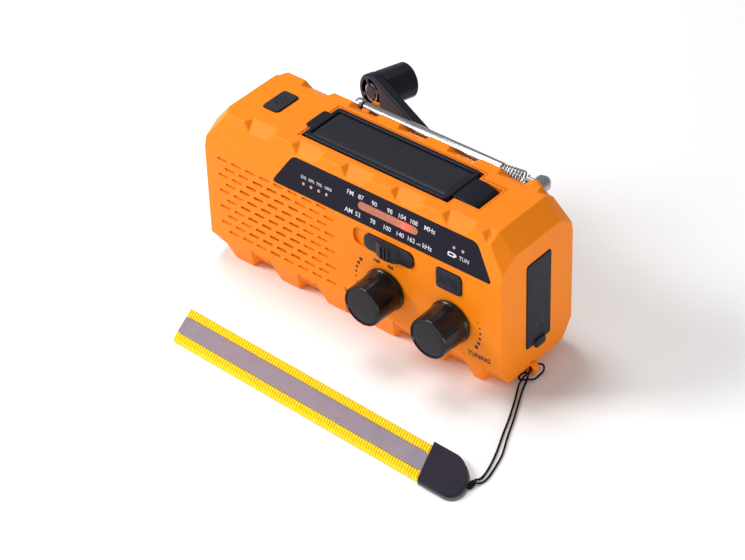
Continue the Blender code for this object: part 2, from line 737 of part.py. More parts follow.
def controls():
    knob("volume_knob", VOLUME_X, VOLUME_Z)
    knob("tuning_knob", TUNING_X, TUNING_Z)
    rod("volume_shaft", steel(), (VOLUME_X, -32.9, VOLUME_Z), (VOLUME_X, -19.3, VOLUME_Z), 2.9, 16)
    rod("tuning_shaft", steel(), (TUNING_X, -32.9, TUNING_Z), (TUNING_X, -20.3, TUNING_Z), 2.9, 16)
    rod("volume_control", steel(), (VOLUME_X, -19.0, VOLUME_Z), (VOLUME_X, -13.3, VOLUME_Z), 8.0, 28)
    simple(
        "tuning_capacitor",
        white(),
        ((TUNING_X - 9.5, -20.0, TUNING_Z - 9.5), (TUNING_X + 9.5, -13.3, TUNING_Z + 9.5)),
    )
    simple("main_circuit_board", board_green(), ((-15.0, -13.0, 15.0), (62.5, -11.6, 54.0)))
    cap = bmesh.new()
    cap_x = SWITCH_X + (SWITCH_SLOT[0] - SWITCH_CAP[0]) / 2 - 0.4
    half_x, half_z = SWITCH_CAP[0] / 2, SWITCH_CAP[1] / 2
    rounded_box(
        cap,
        (cap_x - half_x, -HALF_DEPTH - 0.9, SWITCH_Z - half_z),
        (cap_x + half_x, -HALF_DEPTH + 0.9, SWITCH_Z + half_z),
        2.8,
        1,
    )
    body = finish("band_switch_cap", cap, black())
    grip = bmesh.new()
    add_box(
        grip,
        (cap_x - 4.6, -HALF_DEPTH - 3.4, SWITCH_Z - half_z + 0.3),
        (cap_x + 4.6, -HALF_DEPTH, SWITCH_Z + half_z - 0.3),
    )
    stem = bmesh.new()
    add_box(stem, (SWITCH_X + 0.2, -HALF_DEPTH, SWITCH_Z - 1.5), (SWITCH_X + 5.2, -18.2, SWITCH_Z + 1.5))
    join(body, cutter("switch_grip", grip), cutter("switch_stem", stem))
    simple(
        "band_switch_body",
        steel(),
        ((SWITCH_X - 9.0, -17.9, SWITCH_Z - 3.4), (SWITCH_X + 9.0, -13.3, SWITCH_Z + 3.4)),
    )
    sos = bmesh.new()
    half_x, half_z = SOS_SIZE[0] / 2, SOS_SIZE[1] / 2
    rounded_box(
        sos,
        (SOS_X - half_x, -HALF_DEPTH - 0.9, SOS_Z - half_z),
        (SOS_X + half_x, -19.5, SOS_Z + half_z),
        1.6,
        1,
    )
    finish("sos_button", sos, rubber())
    lamp = bmesh.new()
    half_x, half_y = LAMP_BUTTON_SIZE[0] / 2, LAMP_BUTTON_SIZE[1] / 2
    rounded_box(
        lamp,
        (LAMP_BUTTON_X - half_x, LAMP_BUTTON_Y - half_y, 70.5),
        (LAMP_BUTTON_X + half_x, LAMP_BUTTON_Y + half_y, HEIGHT + 0.8),
        1.6,
        2,
    )
    finish("lamp_button", lamp, rubber())


def speaker():
    facing = place_axis((SPEAKER_X, -12.0, SPEAKER_Z), (0, -1, 0))
    frame_profile = (
        (17.0, 9.2),
        (SPEAKER_RADIUS, 9.2),
        (SPEAKER_RADIUS, 7.8),
        (16.5, 7.4),
        (9.5, 0.5),
        (9.5, -6.0),
        (0.0, -6.0),
        (0.0, 0.0),
        (7.0, 0.8),
        (15.8, 8.2),
        (17.0, 9.2),
    )
    turned("speaker_frame", frame_profile, 32, steel(), facing)
    cone_profile = ((0.0, 4.8), (4.0, 3.6), (15.2, 8.9), (15.2, 8.4), (4.6, 2.6), (0.0, 2.6))
    turned("speaker_cone", cone_profile, 32, material("cone", (0.05, 0.04, 0.04), 0.9), facing)


# ---- the top ---------------------------------------------------------------------------------------


def lamp_tray():
    mesh = bmesh.new()
    add_box(
        mesh, (TRAY_LEFT, -TRAY_HALF_Y, TRAY_FLOOR_Z - 1.2), (TRAY_RIGHT, TRAY_HALF_Y, HEIGHT - 0.1)
    )
    tray = finish("lamp_tray", mesh, orange())
    bay = bmesh.new()
    add_box(
        bay,
        (TRAY_RIGHT - 1.0, -HINGE_BAY_HALF_Y, 66.2),
        (HINGE_BAY_RIGHT, HINGE_BAY_HALF_Y, HEIGHT - 0.1),
    )
    join(tray, cutter("hinge_bay_lump", bay))
    hollow = bmesh.new()
    add_box(
        hollow,
        (TRAY_LEFT + 0.8, -TRAY_HALF_Y + 0.8, TRAY_FLOOR_Z),
        (TRAY_RIGHT - 0.8, TRAY_HALF_Y - 0.8, 80.0),
    )
    deep = bmesh.new()
    add_box(
        deep,
        (TRAY_RIGHT - 2.5, -HINGE_BAY_HALF_Y + 0.9, 67.2),
        (HINGE_BAY_RIGHT - 0.9, HINGE_BAY_HALF_Y - 0.9, 80.0),
    )
    pin = bmesh.new()
    add_rod(
        pin,
        (LID_HINGE_X, -HINGE_BAY_HALF_Y + 0.1, LID_HINGE_Z),
        (LID_HINGE_X, HINGE_BAY_HALF_Y - 0.1, LID_HINGE_Z),
        1.3,
        16,
    )
    cut(tray, cutter("tray_hollow", hollow), cutter("hinge_bay_hollow", deep), cutter("lid_pin_holes", pin))
    simple("reading_lamp_board", board_green(), ((-22.0, -7.0, 69.7), (28.0, 7.0, 70.5)))
    lens = bmesh.new()
    rounded_box(lens, (-20.0, -6.0, 70.8), (26.0, 6.0, 72.2), 2.0, 2)
    finish("reading_lamp_lens", lens, white())


def solar_lid():
    mesh = bmesh.new()
    rounded_box(
        mesh, (LID_LEFT, -LID_HALF_Y, LID_BOTTOM_Z), (LID_RIGHT, LID_HALF_Y, LID_TOP_Z), 2.0, 2
    )
    lid = finish("solar_lid", mesh, black())
    arm = bmesh.new()
    half = HINGE_BAY_HALF_Y - 1.3
    profile = [
        (LID_RIGHT - 1.5, LID_BOTTOM_Z),
        (LID_RIGHT - 1.5, 75.2),
        (46.4, 75.1),
        (LID_HINGE_X - 2.6, 69.2),
    ]
    for step in range(9):
        angle = math.radians(-100.0 + 200.0 * step / 8)
        profile.append((LID_HINGE_X + 3.1 * math.cos(angle), LID_HINGE_Z + 3.1 * math.sin(angle)))
    add_hull(arm, [Vector((x, y, z)) for x, z in profile for y in (-half, half)])
    tab = bmesh.new()
    rounded_box(tab, (LID_LEFT - 3.2, -6.2, HEIGHT + 0.3), (LID_LEFT + 2.0, 6.2, LID_TOP_Z - 0.05), 1.4, 2)
    join(lid, cutter("lid_arm", arm), cutter("lid_tab", tab))
    recess = bmesh.new()
    add_box(recess, (LID_LEFT + 2.2, -LID_HALF_Y + 2.2, 74.2), (LID_RIGHT - 2.0, LID_HALF_Y - 2.2, 80.0))
    pin = bmesh.new()
    add_rod(pin, (LID_HINGE_X, -20, LID_HINGE_Z), (LID_HINGE_X, 20, LID_HINGE_Z), 1.35, 16)
    cut(lid, cutter("lid_recess", recess), cutter("lid_pin_bore", pin))
    simple(
        "solar_cell",
        material("solar_cell", (0.02, 0.02, 0.035), 0.15),
        (
            (LID_LEFT + 2.5, -LID_HALF_Y + 2.5, 74.5),
            (LID_RIGHT - 2.3, LID_HALF_Y - 2.5, 75.3),
        ),
    )
    half_pin = HINGE_BAY_HALF_Y - 0.5
    rod(
        "lid_hinge_pin",
        steel(),
        (LID_HINGE_X, -half_pin, LID_HINGE_Z),
        (LID_HINGE_X, half_pin, LID_HINGE_Z),
        1.0,
        16,
    )


# ---- crank and dynamo ------------------------------------------------------------------------------


def crank_directions():
    """The opened arm's direction, the direction its knob points, and its fold axis."""
    flat = Vector((-math.cos(CRANK_SLOPE), 0.0, math.sin(CRANK_SLOPE)))
    out = Vector((0.0, 1.0, 0.0))
    arm = flat * math.cos(CRANK_LEAN) + out * math.sin(CRANK_LEAN)
    knob_way = out * math.cos(CRANK_LEAN) - flat * math.sin(CRANK_LEAN)
    return arm, knob_way, flat.cross(out)


def crank_frame():
    """The arm's own frame: X along it, Z the way its knob points, origin at the fold pin."""
    arm, knob_way, _ = crank_directions()
    across = knob_way.cross(arm)
    frame = Matrix((arm, across, knob_way)).transposed().to_4x4()
    frame.translation = (CRANK_X, CRANK_PIN_Y, CRANK_Z)
    return frame


def crank():
    frame = crank_frame()
    _, _, fold_axis = crank_directions()
    pin_at = Vector((CRANK_X, CRANK_PIN_Y, CRANK_Z))
    hub = bmesh.new()
    add_rod(hub, (CRANK_X, 19.0, CRANK_Z), (CRANK_X, 22.4, CRANK_Z), 10.8, 36)
    body = finish("crank_hub", hub, black())
    shaft = bmesh.new()
    add_rod(shaft, (CRANK_X, 3.0, CRANK_Z), (CRANK_X, 20.0, CRANK_Z), 2.2, 16)
    ears = bmesh.new()
    flat = Vector((-math.cos(CRANK_SLOPE), 0.0, math.sin(CRANK_SLOPE)))
    for side in (-1.0, 1.0):
        inner, outer = fold_axis * side * 5.3, fold_axis * side * 8.3
        points = []
        for end in (inner, outer):
            for step in range(9):
                angle = math.pi * step / 8
                rim = flat * math.cos(angle) * 2.1 + Vector((0, math.sin(angle) * 2.1, 0))
                points.append(pin_at + end + rim)
            for reach in (-3.0, 3.0):
                points.append(Vector((CRANK_X, 21.5, CRANK_Z)) + end + flat * reach)
        add_hull(ears, points)
    join(body, cutter("crank_shaft", shaft), cutter("crank_ears", ears))
    bore = bmesh.new()
    add_rod(bore, pin_at - fold_axis * 12, pin_at + fold_axis * 12, 1.15, 16)
    groove = bmesh.new()
    groove_low, groove_high = (-2.9, -5.0, -3.2), (2.9, 5.0, 1.0)
    add_box(groove, groove_low, groove_high)
    upright = Matrix((flat, flat.cross(Vector((0, 1, 0))), Vector((0, 1, 0)))).transposed().to_4x4()
    upright.translation = pin_at
    bmesh.ops.transform(groove, matrix=upright, verts=groove.verts[:])
    cut(body, cutter("crank_pin_bore", bore), cutter("crank_groove", groove))
    rod("crank_fold_pin", steel(), pin_at - fold_axis * 8.1, pin_at + fold_axis * 8.1, 0.85, 12)

    arm = bmesh.new()
    points = []
    for step in range(13):
        angle = math.radians(-90.0 + 180.0 * step / 12)
        x = CRANK_LENGTH + ARM_HALF_WIDTH * math.cos(angle)
        points.append((x, ARM_HALF_WIDTH * math.sin(angle)))
    outer = ARM_FACE + ARM_THICK
    corners = [Vector((x, y, z)) for x, y in points for z in (ARM_FACE, outer)]
    corners += [Vector((x, y, ARM_FACE)) for x, y in ((1.6, 4.9), (1.6, -4.9), (5.6, 8.6), (5.6, -8.6))]
    corners += [Vector((x, y, outer)) for x, y in ((5.8, 6.0), (5.8, -6.0), (8.0, 8.6), (8.0, -8.6))]
    add_hull(arm, corners)
    lever = finish("crank_arm", arm, black())
    barrel = bmesh.new()
    add_rod(barrel, (0, -4.9, 0), (0, 4.9, 0), 2.2, 20)
    add_hull(
        barrel,
        [
            Vector((x, y, z))
            for x, z in ((0.2, 0.4), (1.9, -0.5), (1.1, 2.8), (5.0, 4.0), (5.0, 2.2))
            for y in (-4.7, 4.7)
        ],
    )
    join(lever, cutter("crank_arm_barrel", barrel), crossing=True)
    pocket = bmesh.new()
    add_rod(
        pocket, (CRANK_LENGTH, 0, ARM_FACE - 1.0), (CRANK_LENGTH, 0, ARM_FACE + 1.6), ARM_HALF_WIDTH - 2.0, 28
    )
    arm_bore = bmesh.new()
    add_rod(arm_bore, (0, -12, 0), (0, 12, 0), 1.15, 16)
    add_rod(arm_bore, (CRANK_LENGTH, 0, 0.5), (CRANK_LENGTH, 0, 9.0), 2.5, 20)
    cut(lever, cutter("crank_arm_pocket", pocket), cutter("crank_arm_bores", arm_bore))
    placed = metres(frame)
    for name in ("crank_arm", "crank_arm_barrel", "crank_arm_pocket", "crank_arm_bores"):
        bpy.data.objects[name].matrix_world = placed

    knob_start = ARM_FACE + ARM_THICK + GAP
    knob_place = frame @ Matrix.Translation((CRANK_LENGTH, 0, knob_start))
    knob_profile = (
        (0.0, CRANK_KNOB_LENGTH),
        (CRANK_KNOB_RADIUS - 0.8, CRANK_KNOB_LENGTH),
        (CRANK_KNOB_RADIUS, CRANK_KNOB_LENGTH - 0.8),
        (CRANK_KNOB_RADIUS, 0.0),
        (2.9, 0.0),
        (2.9, 10.0),
        (0.0, 10.0),
    )
    turned("crank_knob", knob_profile, 24, black(), knob_place)
    post_profile = (
        (0.0, 9.6 + knob_start),
        (2.1, 9.6 + knob_start),
        (2.1, ARM_FACE + 1.3),
        (4.2, ARM_FACE + 1.3),
        (4.2, ARM_FACE + 0.3),
        (0.0, ARM_FACE + 0.3),
    )
    turned("crank_knob_post", post_profile, 20, steel(), frame @ Matrix.Translation((CRANK_LENGTH, 0, 0)))


def gear_mesh(mesh, centre, teeth, low_y, high_y, phase):
    """Adds a spur gear about the Y direction with thin, straight-sided teeth."""
    pitch = MODULE * teeth / 2
    root, tip = pitch - 1.15 * MODULE, pitch + 0.85 * MODULE
    step = 2 * math.pi / teeth
    outline = []
    for tooth in range(teeth):
        middle = phase + tooth * step
        for radius, share in ((root, -0.30), (tip, -0.10), (tip, 0.10), (root, 0.30)):
            angle = middle + share * step
            outline.append((radius * math.cos(angle), radius * math.sin(angle)))
    verts = [mesh.verts.new((centre[0] + x, low_y, centre[1] + z)) for x, z in outline]
    face = mesh.faces.new(verts)
    lifted = bmesh.ops.extrude_face_region(mesh, geom=[face])["geom"]
    moved = [item for item in lifted if isinstance(item, bmesh.types.BMVert)]
    bmesh.ops.translate(mesh, vec=(0, high_y - low_y, 0), verts=moved)


def gear_places():
    """Centres of the idler and of the generator's pinion."""
    first = MODULE * (DRIVE_TEETH + IDLER_SMALL_TEETH) / 2 + MESH_SLACK
    second = MODULE * (IDLER_BIG_TEETH + PINION_TEETH) / 2 + MESH_SLACK
    idler = (CRANK_X - first, CRANK_Z)
    pinion = (idler[0] - second, CRANK_Z)
    return idler, pinion


def dynamo():
    idler_at, pinion_at = gear_places()
    drive = bmesh.new()
    gear_mesh(drive, (CRANK_X, CRANK_Z), DRIVE_TEETH, 12.3, 15.3, math.pi)
    wheel = finish("drive_gear", drive, white())
    bore = bmesh.new()
    add_rod(bore, (CRANK_X, 5, CRANK_Z), (CRANK_X, 20, CRANK_Z), 2.5, 16)
    cut(wheel, cutter("drive_gear_bore", bore))
    idler = bmesh.new()
    gear_mesh(idler, idler_at, IDLER_SMALL_TEETH, 11.0, 15.6, math.pi / IDLER_SMALL_TEETH)
    body = finish("idler_gear", idler, white())
    big = bmesh.new()
    gear_mesh(big, idler_at, IDLER_BIG_TEETH, 8.0, 11.2, math.pi)
    spindle = bmesh.new()
    add_rod(spindle, (idler_at[0], 6.0, idler_at[1]), (idler_at[0], 16.2, idler_at[1]), 1.2, 12)
    join(body, cutter("idler_big_gear", big), cutter("idler_spindle", spindle))
    pinion = bmesh.new()
    gear_mesh(pinion, pinion_at, PINION_TEETH, 8.3, 11.0, math.pi / PINION_TEETH)
    tip = finish("generator_pinion", pinion, steel())
    shaft = bmesh.new()
    add_rod(shaft, (pinion_at[0], 6.9, pinion_at[1]), (pinion_at[0], 11.6, pinion_at[1]), 0.9, 12)
    join(tip, cutter("generator_shaft", shaft))
    rod(
        "generator",
        steel(),
        (pinion_at[0], -9.0, pinion_at[1]),
        (pinion_at[0], 6.5, pinion_at[1]),
        9.0,
        28,
    )


# ---- aerial ----------------------------------------------------------------------------------------


def tube(name, start_x, end_x, outer, inner, surface):
    """A tube along X, open at its left end."""
    profile = (
        (0.0, 0.0),
        (outer, 0.0),
        (outer, start_x - end_x),
        (inner, start_x - end_x),
        (inner, -2.0),
        (0.0, -2.0),
    )
    place = place_axis((end_x, AERIAL_Y, AERIAL_Z), (1, 0, 0))
    return turned(name, profile, 16, surface, place)


def aerial():
    tube("aerial_tube_outer", TUBE_LEFT, TUBE_RIGHT, 2.5, 2.0, chrome())
    tube("aerial_tube_middle", TUBE_LEFT - 0.3, TUBE_RIGHT - 2.8, 1.65, 1.2, chrome())
    rod(
        "aerial_rod_inner",
        chrome(),
        (TUBE_LEFT - 0.6, AERIAL_Y, AERIAL_Z),
        (TUBE_RIGHT - 5.6, AERIAL_Y, AERIAL_Z),
        0.85,
        12,
    )
    tip_profile = ((0.0, 4.2), (2.2, 4.2), (2.9, 3.4), (2.9, 0.6), (2.4, 0.0), (0.0, 0.0))
    turned(
        "aerial_tip",
        tip_profile,
        20,
        chrome(),
        place_axis((TUBE_LEFT - 0.9, AERIAL_Y, AERIAL_Z), (-1, 0, 0)),
    )
    base = bmesh.new()
    add_rod(base, (AERIAL_PIVOT_X, 21.9, AERIAL_Z), (AERIAL_PIVOT_X, 26.3, AERIAL_Z), 3.6, 24)
    knuckle = finish("aerial_knuckle", base, chrome())
    neck = bmesh.new()
    add_rod(neck, (SPRING_RIGHT + 0.4, AERIAL_Y, AERIAL_Z), (AERIAL_PIVOT_X, AERIAL_Y, AERIAL_Z), 1.5, 16)
    join(knuckle, cutter("aerial_neck", neck))
    bore = bmesh.new()
    add_rod(bore, (AERIAL_PIVOT_X, 20, AERIAL_Z), (AERIAL_PIVOT_X, 30, AERIAL_Z), 1.5, 16)
    cut(knuckle, cutter("aerial_knuckle_bore", bore))
    screw_profile = ((0.0, 9.6), (2.4, 9.6), (2.7, 9.0), (2.7, 8.0), (1.2, 8.0), (1.2, 0.0), (0.0, 0.0))
    turned(
        "aerial_pivot_screw",
        screw_profile,
        16,
        steel(),
        place_axis((AERIAL_PIVOT_X, 18.6, AERIAL_Z), (0, 1, 0)),
    )
    coil()


def coil():
    """The close spring between the aerial's knuckle and its outer tube, wider towards the knuckle."""
    turns, per_turn, wire = 7, 12, 0.42
    count = turns * per_turn + 1
    curve = bpy.data.curves.new("aerial_spring", "CURVE")
    curve.dimensions = "3D"
    curve.bevel_depth = wire * MM
    curve.bevel_resolution = 1
    curve.use_fill_caps = True
    spline = curve.splines.new("POLY")
    spline.points.add(count - 1)
    length = SPRING_RIGHT - SPRING_LEFT - 2 * wire - 0.4
    for index in range(count):
        share = index / (count - 1)
        angle = 2 * math.pi * turns * share
        radius = 1.9 + 1.0 * share
        x = SPRING_LEFT + wire + 0.2 + length * share
        y = AERIAL_Y + radius * math.cos(angle)
        z = AERIAL_Z + radius * math.sin(angle)
        spline.points[index].co = (x * MM, y * MM, z * MM, 1.0)
    curve.materials.append(chrome())
    obj = bpy.data.objects.new("aerial_spring", curve)
    PARTS.objects.link(obj)


# ---- ends, battery, fasteners ----------------------------------------------------------------------


def ends():
    torch_place = place_axis((-HALF_WIDTH + 0.6, 0, 37), (1, 0, 0))
    reflector = ((3.0, 13.0), (4.6, 13.0), (10.0, 2.4), (10.0, 1.6), (9.0, 1.6), (3.0, 12.2), (3.0, 13.0))
    turned("torch_reflector", reflector, 28, chrome(), torch_place)
    lens = ((0.0, 1.3), (9.9, 1.3), (9.9, 0.0), (0.0, 0.0))
    turned("torch_lens", lens, 28, material("clear", (0.9, 0.9, 0.9), 0.05), torch_place)
    led = ((0.0, 15.2), (2.3, 15.2), (2.3, 10.0), (1.2, 8.6), (0.0, 8.2))
    turned("torch_led", led, 16, white(), torch_place)
    cover = bmesh.new()
    rounded_box(
        cover,
        (HALF_WIDTH - 1.2, PORT_Y - PORT_HALF_Y, PORT_Z - PORT_HALF_Z),
        (HALF_WIDTH + 0.5, PORT_Y + PORT_HALF_Y, PORT_Z + PORT_HALF_Z),
        1.4,
        0,
    )
    flap = finish("port_cover", cover, rubber())
    tab = bmesh.new()
    low_z = PORT_Z - PORT_HALF_Z
    rounded_box(
        tab,
        (HALF_WIDTH + GAP, PORT_Y - 3.2, low_z - 1.6),
        (HALF_WIDTH + 1.7, PORT_Y + 3.2, low_z + 2.4),
        1.0,
        0,
    )
    join(flap, cutter("port_cover_tab", tab))
    simple("port_board", board_green(), ((66.0, -8.0, 21.6), (67.4, 10.0, 52.4)))
    names = ("usb_socket", "charging_socket", "earphone_socket")
    for name, ((low_y, low_z), (high_y, high_z)) in zip(names, socket_places()):
        body = simple(name, steel(), ((67.7, low_y, low_z), (HALF_WIDTH - 1.6, high_y, high_z)))
        hole = bmesh.new()
        inset = 0.7
        add_box(hole, (69.5, low_y + inset, low_z + inset), (90, high_y - inset, high_z - inset))
        cut(body, cutter(f"{name}_hole", hole))


def battery():
    left = -BATTERY_LENGTH / 2 - 3.5
    rod(
        "battery_cell",
        material("battery_wrap", (0.05, 0.25, 0.5), 0.4),
        (left, BATTERY_Y, BATTERY_Z),
        (left + BATTERY_LENGTH, BATTERY_Y, BATTERY_Z),
        BATTERY_RADIUS,
        28,
    )
    simple(
        "battery_door",
        orange(),
        ((DOOR_LEFT, DOOR_INNER_Y, DOOR_LOW_Z), (DOOR_RIGHT, DOOR_OUTER_Y, DOOR_HIGH_Z)),
    )


def screws():
    profile = ((0.0, 0.0), (2.4, 0.0), (2.4, -1.6), (1.2, -1.6), (1.2, -16.0), (0.0, -16.4))
    for index, (x, z) in enumerate(screw_places(), start=1):
        place = place_axis((x, 9.9, z), (0, 1, 0))
        turned(f"case_screw_{index}", profile, 16, steel(), place)


# ---- strap -----------------------------------------------------------------------------------------


def strap_line(share, across):
    """A point on the table along the strap's middle line and across it by a share of its half width."""
    return STRAP_FAR.lerp(STRAP_NEAR, share) + STRAP_CROSS * across


def strap():
    webbing = bmesh.new()
    corners = [strap_line(share, across) for share in (0.0, 1.0) for across in (-1.0, 1.0)]
    along = (STRAP_NEAR - STRAP_FAR).normalized()
    low, high = STRAP_THICK
    add_hull(webbing, [corner + Vector((0, 0, z)) for corner in corners for z in (low - 0.25, high)])
    finish("hand_strap", webbing, material("webbing", (0.9, 0.75, 0.0), 0.7))
    start = STRAP_NEAR + along * GAP
    cover, base = bmesh.new(), bmesh.new()
    for mesh, grow, reach, levels in (
        (cover, 1.06, TAB_LENGTH, TAB_COVER_Z),
        (base, 1.06, TAB_LENGTH + TAB_STEP, TAB_BASE_Z),
    ):
        outline = [start - STRAP_CROSS * grow, start + STRAP_CROSS * grow]
        middle = start + along * reach
        for step in range(13):
            angle = math.radians(-90.0 + 180.0 * step / 12)
            lengthwise = along * 8.6 * math.cos(angle)
            outline.append(middle + lengthwise + STRAP_CROSS * grow * math.sin(angle))
        add_hull(mesh, [point + Vector((0, 0, z)) for point in outline for z in levels])
    finish("strap_tab_cover", cover, rubber())
    finish("strap_tab_base", base, rubber())


def cord():
    """The thin cord: out of the tab, through the lug, round it and back beside itself to the tab."""
    route = cord_route()
    points = smooth_points([Vector(point) for point in route], 112)
    curve = bpy.data.curves.new("lanyard_cord", "CURVE")
    curve.dimensions = "3D"
    curve.bevel_depth = CORD_DIAMETER / 2 * MM
    curve.bevel_resolution = 2
    curve.use_fill_caps = True
    spline = curve.splines.new("POLY")
    spline.points.add(len(points) - 1)
    for slot, point in zip(spline.points, points):
        slot.co = (*(point * MM), 1.0)
    curve.materials.append(black())
    obj = bpy.data.objects.new("lanyard_cord", curve)
    PARTS.objects.link(obj)


def cord_route():
    """Points chosen along the cord, from the tab out and back."""
    return (
        (101.6, -70.6, 1.0),
        (103.0, -68.6, 0.6),
        (103.3, -65.0, 0.5),
        (102.0, -59.0, 0.5),
        (99.4, -50.6, 0.5),
        (94.6, -40.8, 0.5),
        (90.6, -32.0, 0.5),
        (86.0, -22.6, 0.5),
        (82.3, -15.0, 0.5),
        (80.0, -9.2, 0.7),
        (78.9, -6.4, 1.9),
        (78.4, -4.4, 2.9),
        (78.4, -1.8, 3.0),
        (79.0, 0.3, 2.9),
        (80.9, 1.0, 2.5),
        (82.3, -1.0, 1.7),
        (82.1, -4.0, 0.9),
        (81.8, -6.6, 0.8),
        (80.9, -9.2, 1.8),
        (79.4, -10.8, 2.0),
        (77.6, -10.9, 1.5),
        (76.5, -9.4, 1.4),
        (77.0, -7.8, 2.2),
        (78.5, -7.5, 3.3),
        (79.7, -8.9, 3.9),
        (79.8, -11.2, 3.5),
        (79.6, -13.4, 1.8),
        (80.7, -16.2, 0.6),
        (84.2, -23.0, 0.5),
        (88.6, -32.2, 0.5),
        (92.2, -40.6, 0.5),
        (96.9, -51.0, 0.5),
        (99.8, -59.0, 0.5),
        (101.2, -64.4, 0.5),
        (101.2, -67.2, 0.6),
        (100.2, -68.9, 1.0),
    )


def smooth_points(route, count):
    """Points at equal lengths along a smooth curve through the route."""
    fine = []
    for index in range(len(route) - 1):
        before = route[max(index - 1, 0)]
        start, end = route[index], route[index + 1]
        after = route[min(index + 2, len(route) - 1)]
        for step in range(12):
            t = step / 12
            fine.append(
                0.5
                * (
                    2 * start
                    + (end - before) * t
                    + (2 * before - 5 * start + 4 * end - after) * t * t
                    + (3 * start - before - 3 * end + after) * t * t * t
                )
            )
    fine.append(route[-1])
    lengths = [0.0]
    for first, second in zip(fine, fine[1:]):
        lengths.append(lengths[-1] + (second - first).length)
    points = []
    segment = 0
    for index in range(count):
        goal = lengths[-1] * index / (count - 1)
        while segment < len(fine) - 2 and lengths[segment + 1] < goal:
            segment += 1
        span = lengths[segment + 1] - lengths[segment]
        points.append(fine[segment].lerp(fine[segment + 1], (goal - lengths[segment]) / span))
    return points


def main():
    start_scene()
    front = front_housing()
    rear_housing()
    cut(front, bay_openings())
    dial()
    controls()
    speaker()
    lamp_tray()
    solar_lid()
    crank()
    dynamo()
    aerial()
    ends()
    battery()
    screws()
    strap()
    cord()


main()
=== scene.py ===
"""Looks of a hand-cranked emergency radio: moulded case, dial, knobs, solar lid, crank, aerial and hand strap.

Sizes in the classes are millimetres in the radio's own frame (front towards -Y, right-hand end towards +X,
standing on z = 0). Every mesh is turned into metres once, when its piece is finished.
"""

import logging
import math
from dataclasses import dataclass, field
from enum import Enum
from typing import Callable, ClassVar, Iterable, Sequence

import bmesh
import bpy
from mathutils import Matrix, Vector


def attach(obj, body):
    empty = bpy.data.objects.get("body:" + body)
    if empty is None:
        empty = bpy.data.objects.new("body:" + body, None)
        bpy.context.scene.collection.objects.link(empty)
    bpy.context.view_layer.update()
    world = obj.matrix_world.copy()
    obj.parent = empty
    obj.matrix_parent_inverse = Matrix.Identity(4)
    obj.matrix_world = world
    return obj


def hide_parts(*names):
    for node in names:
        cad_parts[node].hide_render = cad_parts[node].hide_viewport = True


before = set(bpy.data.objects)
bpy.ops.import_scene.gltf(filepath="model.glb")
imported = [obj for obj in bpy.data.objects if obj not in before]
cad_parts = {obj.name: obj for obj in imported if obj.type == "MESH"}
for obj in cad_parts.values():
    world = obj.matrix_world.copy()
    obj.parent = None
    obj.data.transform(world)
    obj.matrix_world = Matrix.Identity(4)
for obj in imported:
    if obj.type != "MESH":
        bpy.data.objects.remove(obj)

MM = 0.001
SOLAR_PITCH = 1.3
WEBBING_RIBS = 100.0
LOG = logging.getLogger("radio")

Point = tuple[float, float, float]
Colour = tuple[float, float, float]
Value = bpy.types.NodeSocket | Colour | float


# ---- finishes --------------------------------------------------------------------------------------


